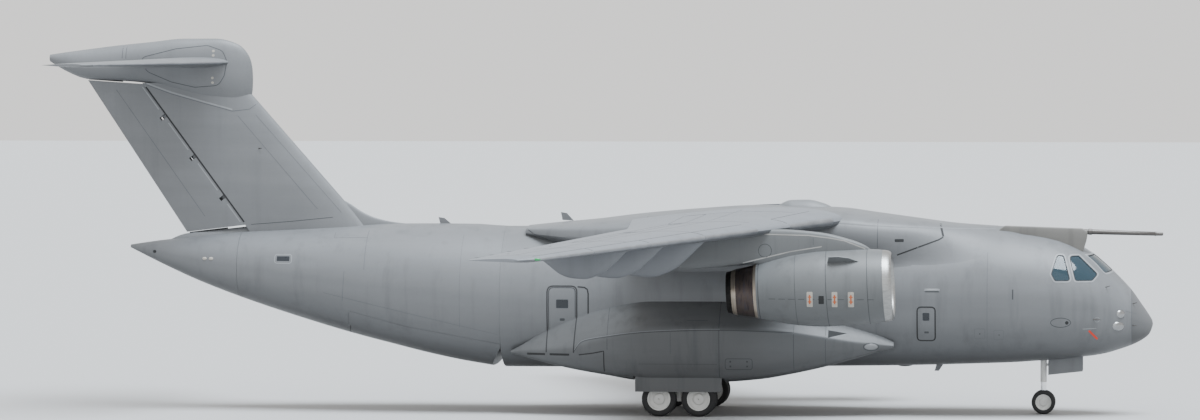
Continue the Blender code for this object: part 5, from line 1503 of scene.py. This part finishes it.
HULL_SOFT = (
    (BOTH, ((-7.28, 5.72), (-7.28, 4.51)), False, 0.016),
    (BOTH, ((-7.92, 4.47), (-7.98, 3.52)), False, 0.014),
    (BOTH, ((-8.36, 5.66), (-8.36, 5.49), (-7.30, 5.51)), False, 0.014),
    (BOTH, ((-4.20, 2.72), (-4.20, 5.60)), False, 0.010),
    (BOTH, box_outline(11.96, 2.46, 12.28, 2.77, 0.04), True, 0.010),
    (BOTH, box_outline(12.56, 2.43, 12.86, 2.73, 0.04), True, 0.010),
    (BOTH, ((-8.60, 3.78), (-3.00, 2.50)), False, 0.010),
    (BOTH, ((16.95, 3.20), (16.62, 3.30)), False, 0.010),
)
for name, paint, lines in (("hull_lines_black", RUBBER_BLACK, HULL_BLACK),
                           ("hull_lines_dark", SEAM_DARK, HULL_DARK),
                           ("hull_lines_soft", SEAM_SOFT, HULL_SOFT)):
    fit(name, paint, [strip(HULL_SKIN, view, path, wide, closed)
                      for views, path, closed, wide in lines for view in views])
print("lines", len(HULL_BLACK) + len(HULL_DARK) + len(HULL_SOFT))

# %% Windows, lamps and vents in the sides
pale, glass, dark, white = [], [], [], []
for view in BOTH:
    glass.append(plate(DOOR_SKIN, view, box_outline(-1.13, 3.35, -0.75, 3.62, 0.03)))
    pale.append(strip(HULL_SKIN, view, box_outline(-10.22, 4.69, -9.66, 4.97, 0.09), 0.022, True))
    glass.append(plate(HULL_SKIN, view, box_outline(-10.15, 4.76, -9.73, 4.91, 0.02)))
    pale.append(plate(HULL_SKIN, view, box_outline(10.40, 3.94, 10.88, 4.01, 0.02), proud=0.012))
    dark.append(plate(HULL_SKIN, view, box_outline(9.47, 5.46, 9.75, 5.55, 0.03)))
    dark.append(plate(HULL_SKIN, view, oval(14.81, 2.96, 0.055, 0.055, 16), lift=0.005))
    dark.append(plate(HULL_SKIN, view, oval(-14.29, 5.01, 0.06, 0.05, 16)))
    white += [plate(HULL_SKIN, view, oval(x, 4.81, 0.075, 0.05, 16), proud=0.03) for x in (-12.57, -12.35)]
glass.append(plate(HULL_SKIN, "right", box_outline(10.35, 3.02, 10.56, 3.26, 0.03)))
fit("side_trims", TRIM_PALE, pale)
fit("side_window_panes", CABIN_GLASS, glass)
# The vent plates are painted shade inside the openings.
fit("side_vents", OPENING_SHADE, dark)
fit("tail_lamps", LATCH_WHITE, white)
handles = [plate(HULL_SKIN, "right", box_outline(10.40, 2.62, 10.54, 2.68, 0.02))]
handles += [plate(DOOR_SKIN, view, box_outline(-1.02, 2.95, -0.86, 3.03, 0.03)) for view in ("right", "left")]
fit("hatch_handles", SEAM_DARK, handles)
print("side fittings done")

# %% Nose fittings, antennas and belly bumps
# Place seen from the side, length, radius, lean
NOSE_PROBES = ((16.84, 3.52, 0.14, 0.014, 0.5), (16.84, 2.84, 0.14, 0.014, 0.5),
               (16.00, 4.05, 0.16, 0.014, 0.5), (15.62, 3.06, 0.24, 0.018, 0.75))
domes, probes, marks = [], [], []
for view in BOTH:
    domes.append(plate(HULL_SKIN, view, oval(16.47, 3.21, 0.13, 0.13), proud=0.05))
    domes.append(plate(HULL_SKIN, view, oval(16.40, 2.83, 0.18, 0.14), proud=0.05))
    probes += [stub(HULL_SKIN, view, *row) for row in NOSE_PROBES]
    marks += [strip(HULL_SKIN, view, oval(15.74, 3.05, 0.075, 0.075), 0.014, True),
              strip(HULL_SKIN, view, ((15.30, 2.76), (15.72, 2.78)), 0.022)]
fit("nose_domes", DOME_METAL, domes)
fit("nose_probes", PROBE_METAL, probes)
fit("probe_rings", TRIM_PALE, marks)
fit("nose_strap", SAFETY_RED, [strip(HULL_SKIN, "right", ((15.49, 2.71), (15.75, 2.44)), 0.06, lift=0.008)])
ANTENNAS = (((10.91, 1.56), (10.69, 1.56), (10.62, 1.33), (10.76, 1.33)),
            ((-0.84, 6.03), (-1.20, 6.05), (-1.25, 6.30), (-1.06, 6.27)),
            ((-4.75, 5.90), (-5.12, 5.90), (-5.18, 6.13), (-4.99, 6.10)))
ANTENNA_HALF = 0.014
antennas = [prism("blade", outline, "y", -ANTENNA_HALF, ANTENNA_HALF) for outline in ANTENNAS]
fit("blade_antennas", TAIL_GREY, antennas)
fit("belly_bump", HULL_GREY, [plate(HULL_SKIN, "below", oval(9.70, 0.0, 0.24, 0.12), proud=0.05),
                              plate(HULL_SKIN, "below", oval(6.20, 0.0, 0.20, 0.10), proud=0.04)])
print("nose fittings done")

# %% Cockpit window frames
# How far the frame stands out past the glass, and the seal's width
FRAME_WIDE, SEAL_WIDE = 0.040, 0.024
for number, (_, _, outline, axis, near, far, radius) in enumerate(OPENINGS):
    rim = hull_tube(f"window_frame_{number}", *GLAZED, -0.006, 0.02)
    outer = rounded(grown(outline, FRAME_WIDE), radius + 0.03)
    combine(rim, prism("tool", outer, axis, near, far), "INTERSECT")
    cut(rim, prism("cutter", rounded(outline, radius), axis, near, far))
    dress(rim, TRIM_PALE)
    seal = hull_tube(f"window_seal_{number}", *GLAZED, 0.0, 0.03)
    outer = rounded(grown(outline, -0.001), radius)
    combine(seal, prism("tool", outer, axis, near, far), "INTERSECT")
    cut(seal, prism("cutter", rounded(grown(outline, -SEAL_WIDE), radius * 0.8), axis, near, far))
    dress(seal, RUBBER_BLACK)
print("window frames", len(OPENINGS))

# %% [markdown]
# ## Lines and marks on sponsons, cowls and pylons
# The cowls open for service, so latches sit in a row on their sides, and dashed lines mark the hinged
# panels. These are cast onto the skins, and the seams round the cowls are turned. A strake on each cowl
# steadies the air over the wing. It is an outline given a little thickness.

# %% Sponson lines and lamps
# Path, width, closed
SPONSON_DARK = (
    (((0.56, 2.10), (0.56, 3.42)), 0.016), (((4.07, 1.25), (4.07, 3.58)), 0.018),
    (((6.38, 1.50), (6.38, 3.22)), 0.016), (((7.36, 1.62), (7.36, 2.92)), 0.014),
    (box_outline(4.26, 1.50, 5.10, 1.84, 0.09), 0.018, True), (((2.55, 1.98), (2.55, 2.66)), 0.010),
    (((4.00, 1.66), (1.55, 1.66)), 0.010), (((3.70, 3.02), (3.05, 3.02)), 0.016),
)
SPONSON_BLACK = (
    (((-0.35, 1.92), (0.10, 1.98), (0.45, 2.05), (0.45, 1.40)), 0.036),
    (((-0.52, 1.98), (-0.48, 3.16)), 0.040), (((-1.41, 1.98), (-1.41, 2.72)), 0.040),
)
SPONSON_CREASE = ((-0.50, 2.03), (-0.26, 2.32), (0.58, 2.50), (1.92, 2.66), (4.10, 2.73), (6.35, 2.66))
SPONSON_SLOTS = ((-2.05, -1.45), (-1.30, -0.66))
fit("sponson_lines", SEAM_DARK, strips(SPONSON_SKIN, SPONSON_DARK, BOTH))
fit("sponson_lines_black", RUBBER_BLACK, strips(SPONSON_SKIN, SPONSON_BLACK, BOTH))
# The dark strip along the fold is painted shade, and the lighter strip above it is a painted highlight.
crease = curve_through(SPONSON_CREASE, 6)
lit_crease = [(x, z + 0.03) for x, z in crease[:-6]]
fit("sponson_crease", SEAM_DARK, strips(SPONSON_SKIN, [(crease, 0.026)], BOTH))
fit("sponson_crease_light", HULL_GREY, strips(SPONSON_SKIN, [(lit_crease, 0.018)], BOTH))
dots, inlets, lamps, rims = [], [], [], []
for view in BOTH:
    dots += [plate(SPONSON_SKIN, view, oval(x, z, 0.03, 0.03, 12))
             for x in (4.42, 4.94) for z in (1.60, 1.75)]
    inlets.append(plate(SPONSON_SKIN, view, [(7.44, 2.72), (8.00, 2.62), (7.44, 2.50)], lift=0.006))
    inlets += [plate(SPONSON_SKIN, view, box_outline(a, 1.885, b, 1.95, 0.02)) for a, b in SPONSON_SLOTS]
    lamps.append(plate(SPONSON_SKIN, view, oval(8.76, 2.205, 0.20, 0.09), proud=0.012))
    rims.append(strip(SPONSON_SKIN, view, oval(8.76, 2.205, 0.235, 0.12), 0.024, True))
fit("sponson_dots", SEAM_DARK, dots)
# The inlet plates are painted shade inside the openings.
fit("sponson_inlets", OPENING_SHADE, inlets)
fit("landing_lamps", LAMP_GLASS, lamps)
fit("landing_lamp_rims", SEAM_DARK, rims)
print("sponson fittings done")

# %% Cowl seams, latches, vents and strakes
# Distance behind the lip, width
COWL_SEAMS = ((0.72, 0.018), (1.97, 0.018), (2.92, 0.012), (4.06, 0.030))
DASHES, DASH_STEP, DASH_HEIGHT = 11, 0.30, 3.87
LATCHES = ((7.07, 7.25), (7.83, 8.00), (8.32, 8.50))
STRAKE = ((-0.90, 1.12), (-1.25, 1.34), (-1.55, 1.42), (-1.85, 1.42), (-1.92, 1.12))
seams, latch_plates, latch_hearts, vents = [], [], [], []
for side, word in SIDES:
    for behind, wide in COWL_SEAMS:
        radius = float(read_cowl(behind)[0])
        front, aft, over, under = -behind + wide / 2, -behind - wide / 2, radius + 0.003, radius - 0.01
        rim = ((front, over), (aft, over), (aft, under), (front, under))
        seams.append(on_engine(turned("seam", rim, ENGINE_SIDES, closed=True), side))
    for number in range(DASHES):
        dash = [(start - DASH_STEP * number, DASH_HEIGHT) for start in (9.10, 8.90)]
        seams.append(strip(COWL_SKIN, word, dash, 0.016))
    for low, high in LATCHES:
        latch_plates.append(plate(COWL_SKIN, word, box_outline(low, 3.64, high, 4.10, 0.03)))
        middle = (low + high) / 2
        for half, z, top, lift in ((0.022, 3.73, 4.01, 0.007), (0.055, 3.78, 3.78 + 0.035, 0.0075),
                                   (0.055, 3.925, 3.925 + 0.035, 0.0075)):
            heart = box_outline(middle - half, z, middle + half, top)
            latch_hearts.append(plate(COWL_SKIN, word, heart, lift=lift))
    vents.append(plate(COWL_SKIN, word, box_outline(7.43, 3.73, 7.59, 3.98, 0.02)))
    strake = prism(f"strake_{word}", STRAKE, "y", -0.011, 0.011)
    strake.data.transform(Matrix.Rotation(-side * math.radians(46), 4, "X"))
    dress(on_engine(strake, side), COWL_GREY)
fit("cowl_seams", SEAM_DARK, seams)
fit("latch_plates", LATCH_WHITE, latch_plates)
fit("latch_hearts", LATCH_ORANGE, latch_hearts)
# The cowl vent plates are painted shade inside the openings.
fit("cowl_vents", OPENING_SHADE, vents)
PYLON_BRIGHT = (((5.70, 5.81), (7.05, 5.78), (7.70, 5.70), (8.15, 5.62), (8.78, 5.38)),
                ((5.05, 4.93), (6.48, 5.28), (7.46, 5.44)))
PYLON_DARK = ((oval(5.73, 5.31, 0.20, 0.20), 0.016, True),
              (((3.34, 4.61), (4.41, 4.74), (5.40, 4.97)), 0.030), (((7.20, 5.50), (7.20, 5.72)), 0.012))
fit("pylon_edges", LIP_METAL, [strip(PYLON_SKIN, v, path, 0.034) for v in BOTH for path in PYLON_BRIGHT])
fit("pylon_panels", SEAM_DARK, strips(PYLON_SKIN, PYLON_DARK, BOTH))
print("cowl fittings done")

# %% [markdown]
# ## Lines on the wing and tail
# The leading edges are bare metal, worn bright by dust and rain. The line behind them is the edge of the
# slats. Spoilers lie ahead of the flaps, and thin wicks at the trailing edges shed static.

# %% Bright leading edges
EDGE_SHARES = [0.012 * (i / 6) ** 2 for i in range(7)]


def edge_strip(rows, place, start, end):
    """A thin metal cap over a leading edge between two span stations."""
    rings = []
    for span in spread(start, end, 0.6):
        outer, inner = (section_ring(rows, place, span, EDGE_SHARES, grow) for grow in (0.0025, -0.006))
        rings.append(outer + inner[::-1])
    return loft("edge", rings)


SLATS = ((2.55, 4.85), (6.55, 9.20), (9.24, 11.90), (11.94, 14.60), (14.64, 17.10))
for side, word in SIDES:
    fit(f"wing_edge_{word}", EDGE_METAL, [edge_strip(WING, wing_place(side), a, b) for a, b in SLATS])
fit("tail_edges", EDGE_METAL, [edge_strip(TAILPLANE, wing_place(side), 0.55, 6.0) for side, _ in SIDES])
print("edges done")

# %% Wing lines, wicks and tip lamps
RIB_SPANS, WICK_SPANS, LAMP_SPAN = (3.2, 6.0, 9.2, 12.45, 14.6, 16.9), (13.2, 14.4, 15.6, 16.6), 17.2
SPOILERS = ((3.3, 5.8), (6.1, 8.9), (9.0, 12.2))
LAMP_LONG, LAMP_HALF = 0.14, 0.035


def on_wing(side, *places):
    """Places on the wing as seen from above, each given by its share of the chord and its span."""
    rows = [(share, span, *between(WING, span)[:2]) for share, span in places]
    return [(lead - share * (lead - trail), side * span) for share, span, lead, trail in rows]


wing_dark, wing_soft, wicks = [], [], []
for side, word in SIDES:
    for view in ("top", "below"):
        wing_dark += [strip(WING_SKIN, view, on_wing(side, (0.12, a), (0.12, (a + b) / 2), (0.12, b)), 0.018)
                      for a, b in SLATS]
        wing_dark += [strip(WING_SKIN, view, on_wing(side, (0.02, b + 0.02), (0.12, b + 0.02)), 0.030)
                      for _, b in SLATS[:-1]]
        wing_soft += [strip(WING_SKIN, view, on_wing(side, (0.14, s), (0.71, s)), 0.010) for s in RIB_SPANS]
        wing_soft.append(strip(WING_SKIN, view, on_wing(side, (0.45, 2.6), (0.45, 5.9), (0.45, 16.9)), 0.009))
    for a, b in SPOILERS:
        outline = on_wing(side, (0.60, a), (0.60, b), (0.72, b), (0.72, a))
        wing_dark.append(strip(WING_SKIN, "top", outline, 0.014, True))
    for span in WICK_SPANS:
        lead, trail, height, _ = between(WING, span)
        root, tip = (trail + 0.01, side * span, height), (trail - 0.16, side * span, height - 0.01)
        wicks.append(rod("wick", root, tip, 0.005, 6))
    lead, trail, height, _ = between(WING, LAMP_SPAN)
    lamp_outline = [(-LAMP_LONG + LAMP_LONG * (1 - math.cos(a)), LAMP_HALF * math.sin(a))
                    for a in spread(0.03, math.pi - 0.03, 0.3)]
    lamp = turned(f"tip_lamp_{word}", lamp_outline, 24)
    lamp.data.transform(Matrix.Translation((lead - 0.02, side * LAMP_SPAN, height)))
    dress(lamp, RED_GLASS if side > 0 else GREEN_GLASS, sharp=60)
fit("wing_lines_dark", SEAM_DARK, wing_dark)
fit("wing_lines_soft", SEAM_SOFT, wing_soft)
fit("static_wicks", SEAM_DARK, wicks)
print("wing lines done")

# %% Lines on the fin, the rudder and the bullet
hinge_low, hinge_high = rudder_hinge
# The pale line on the rudder's nose is a painted highlight. It stops short of the notches round
# its hinge lugs
BETWEEN_LUGS = ((0.085, 0.205), (0.295, 0.475), (0.565, 0.745), (0.835, 0.985))
FIN_LINES = (((-11.62, 9.35), (-9.04, 6.38)), ((-11.05, 9.38), (-8.28, 6.27)))
FIN_ROOT = ((-11.20, 5.88), (-9.94, 5.98), (-8.55, 6.12))
BULLET_OVAL = ((-14.76, 11.20), (-13.61, 11.49), (-12.60, 11.60), (-12.11, 11.43), (-11.96, 11.09),
               (-12.04, 10.64), (-12.23, 10.32), (-13.00, 10.26), (-13.76, 10.43), (-14.53, 10.76))
BULLET_FOOT = ((-14.60, 10.34), (-13.79, 10.05), (-12.72, 9.75), (-11.80, 9.50), (-11.26, 9.56),
               (-11.02, 9.74))
BULLET_DOTS = ((-12.40, 11.42), (-12.40, 11.28), (-12.42, 10.56), (-12.42, 10.41))


def by_hinge(share, ahead):
    """A place beside the rudder's hinge line, as seen from the side."""
    spot = hinge_low.lerp(hinge_high, share)
    return (spot.x + ahead, spot.z)


fin_dark = [by_hinge(0.085, 0.095), by_hinge(0.985, 0.085)]
rudder_highlight_paths = [[by_hinge(a, -0.03), by_hinge(b, -0.03)] for a, b in BETWEEN_LUGS]
rudder_tab = ((-12.72, 6.13), (-15.60, 10.18))
fit("fin_hinge_line", RUBBER_BLACK, strips(FIN_SKIN, [(fin_dark, 0.050)], BOTH))
rudder_highlight_strips = [strip(RUDDER_SKIN, v, path, 0.034) for v in BOTH for path in rudder_highlight_paths]
fit("rudder_hinge_line", TRIM_PALE, rudder_highlight_strips, "rudder")
fit("fin_lines", SEAM_SOFT, [strip(FIN_SKIN, v, path, 0.012) for v in BOTH for path in FIN_LINES])
fit("fin_root_line", SEAM_DARK, strips(FIN_SKIN, [(FIN_ROOT, 0.018)], BOTH))
fit("fin_probes", PROBE_METAL, [stub(FIN_SKIN, v, -10.95, 8.31, 0.14, 0.016, 0.6) for v in BOTH])
fit("rudder_tab_line", SEAM_SOFT, strips(RUDDER_SKIN, [(rudder_tab, 0.014)], BOTH), "rudder")
bullet_dark = [strip(BULLET_SKIN, v, rounded(BULLET_OVAL, 0.30), 0.022) for v in BOTH]
bullet_dark += [strip(BULLET_SKIN, v, ((x, 11.18), (x, 11.58)), 0.016)
                for v in BOTH for x in (-15.34, -15.22)]
fit("bullet_lines", SEAM_DARK, bullet_dark)
# The pale band just above the dark line at the bullet's foot is a painted highlight.
foot_highlight = [(x, z + 0.05) for x, z in BULLET_FOOT[:4]]
fit("bullet_foot_line", SEAM_SOFT, strips(TAIL_SKIN, [(BULLET_FOOT, 0.020)], BOTH))
fit("bullet_foot_light", TRIM_PALE, strips(TAIL_SKIN, [(foot_highlight, 0.050)], BOTH))
bullet_dots = [plate(BULLET_SKIN, v, oval(x, z, 0.045, 0.04, 14)) for v in BOTH for x, z in BULLET_DOTS]
fit("bullet_dots", LATCH_WHITE, bullet_dots)
print("tail lines done")

# %% [markdown]
# ## Spinner spirals
# A white spiral on each spinner makes it plain when the fan turns. It is a thin band wound round the
# cone, narrow at both ends.

# %% Spinner spirals
SPIRAL_STEPS, SPIRAL_START, SPIRAL_LONG, SPIRAL_TURNS, SPIRAL_HALF = 60, 0.66, 0.42, 1.15, 0.03
read_spinner = smooth_table(list(reversed(SPINNER[2:])))
rings = []
for i in range(SPIRAL_STEPS + 1):
    behind = SPIRAL_START + SPIRAL_LONG * i / SPIRAL_STEPS
    radius = float(read_spinner(behind)[0])
    turn = 2 * math.pi * SPIRAL_TURNS * i / SPIRAL_STEPS
    half = SPIRAL_HALF * math.sin(math.pi * (i + 3) / (SPIRAL_STEPS + 6))
    ring = []
    for off, rise in ((half, 0.003), (-half, 0.003), (-half, -0.004), (half, -0.004)):
        a = turn + off / max(radius, 0.05)
        ring.append((-behind, (radius + rise) * math.cos(a), (radius + rise) * math.sin(a)))
    rings.append(ring)
for side, word in SIDES:
    dress(on_engine(loft(f"spinner_spiral_{word}", rings), side), LATCH_WHITE, f"fan_{word}")
print("spirals done")

# %% [markdown]
# ## CAD nodes that stay
# Legs, fork, gear doors, floor, flight deck and engine cores already have their real shapes, so they
# keep their CAD meshes and only get a finish.

# %% Finishes for the CAD nodes that stay
KEPT = {
    "main_gear_leg_left": WHITE_PAINT, "main_gear_leg_right": WHITE_PAINT, "nose_gear_leg": WHITE_PAINT,
    "nose_gear_fork": CHROME, "main_gear_door_left": SPONSON_GREY_SHADED, "main_gear_door_right": SPONSON_GREY_SHADED,
    "nose_gear_door_left": HULL_GREY, "nose_gear_door_right": HULL_GREY, "cargo_floor": DECK_METAL,
    "flight_deck": CABIN_DARK, "engine_core_left": BURNT_METAL, "engine_core_right": BURNT_METAL,
}
for node, paint in KEPT.items():
    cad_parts[node].data.materials.clear()
    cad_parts[node].data.materials.append(paint)
print("kept nodes", len(KEPT))

# %% Update the scene
bpy.context.view_layer.update()
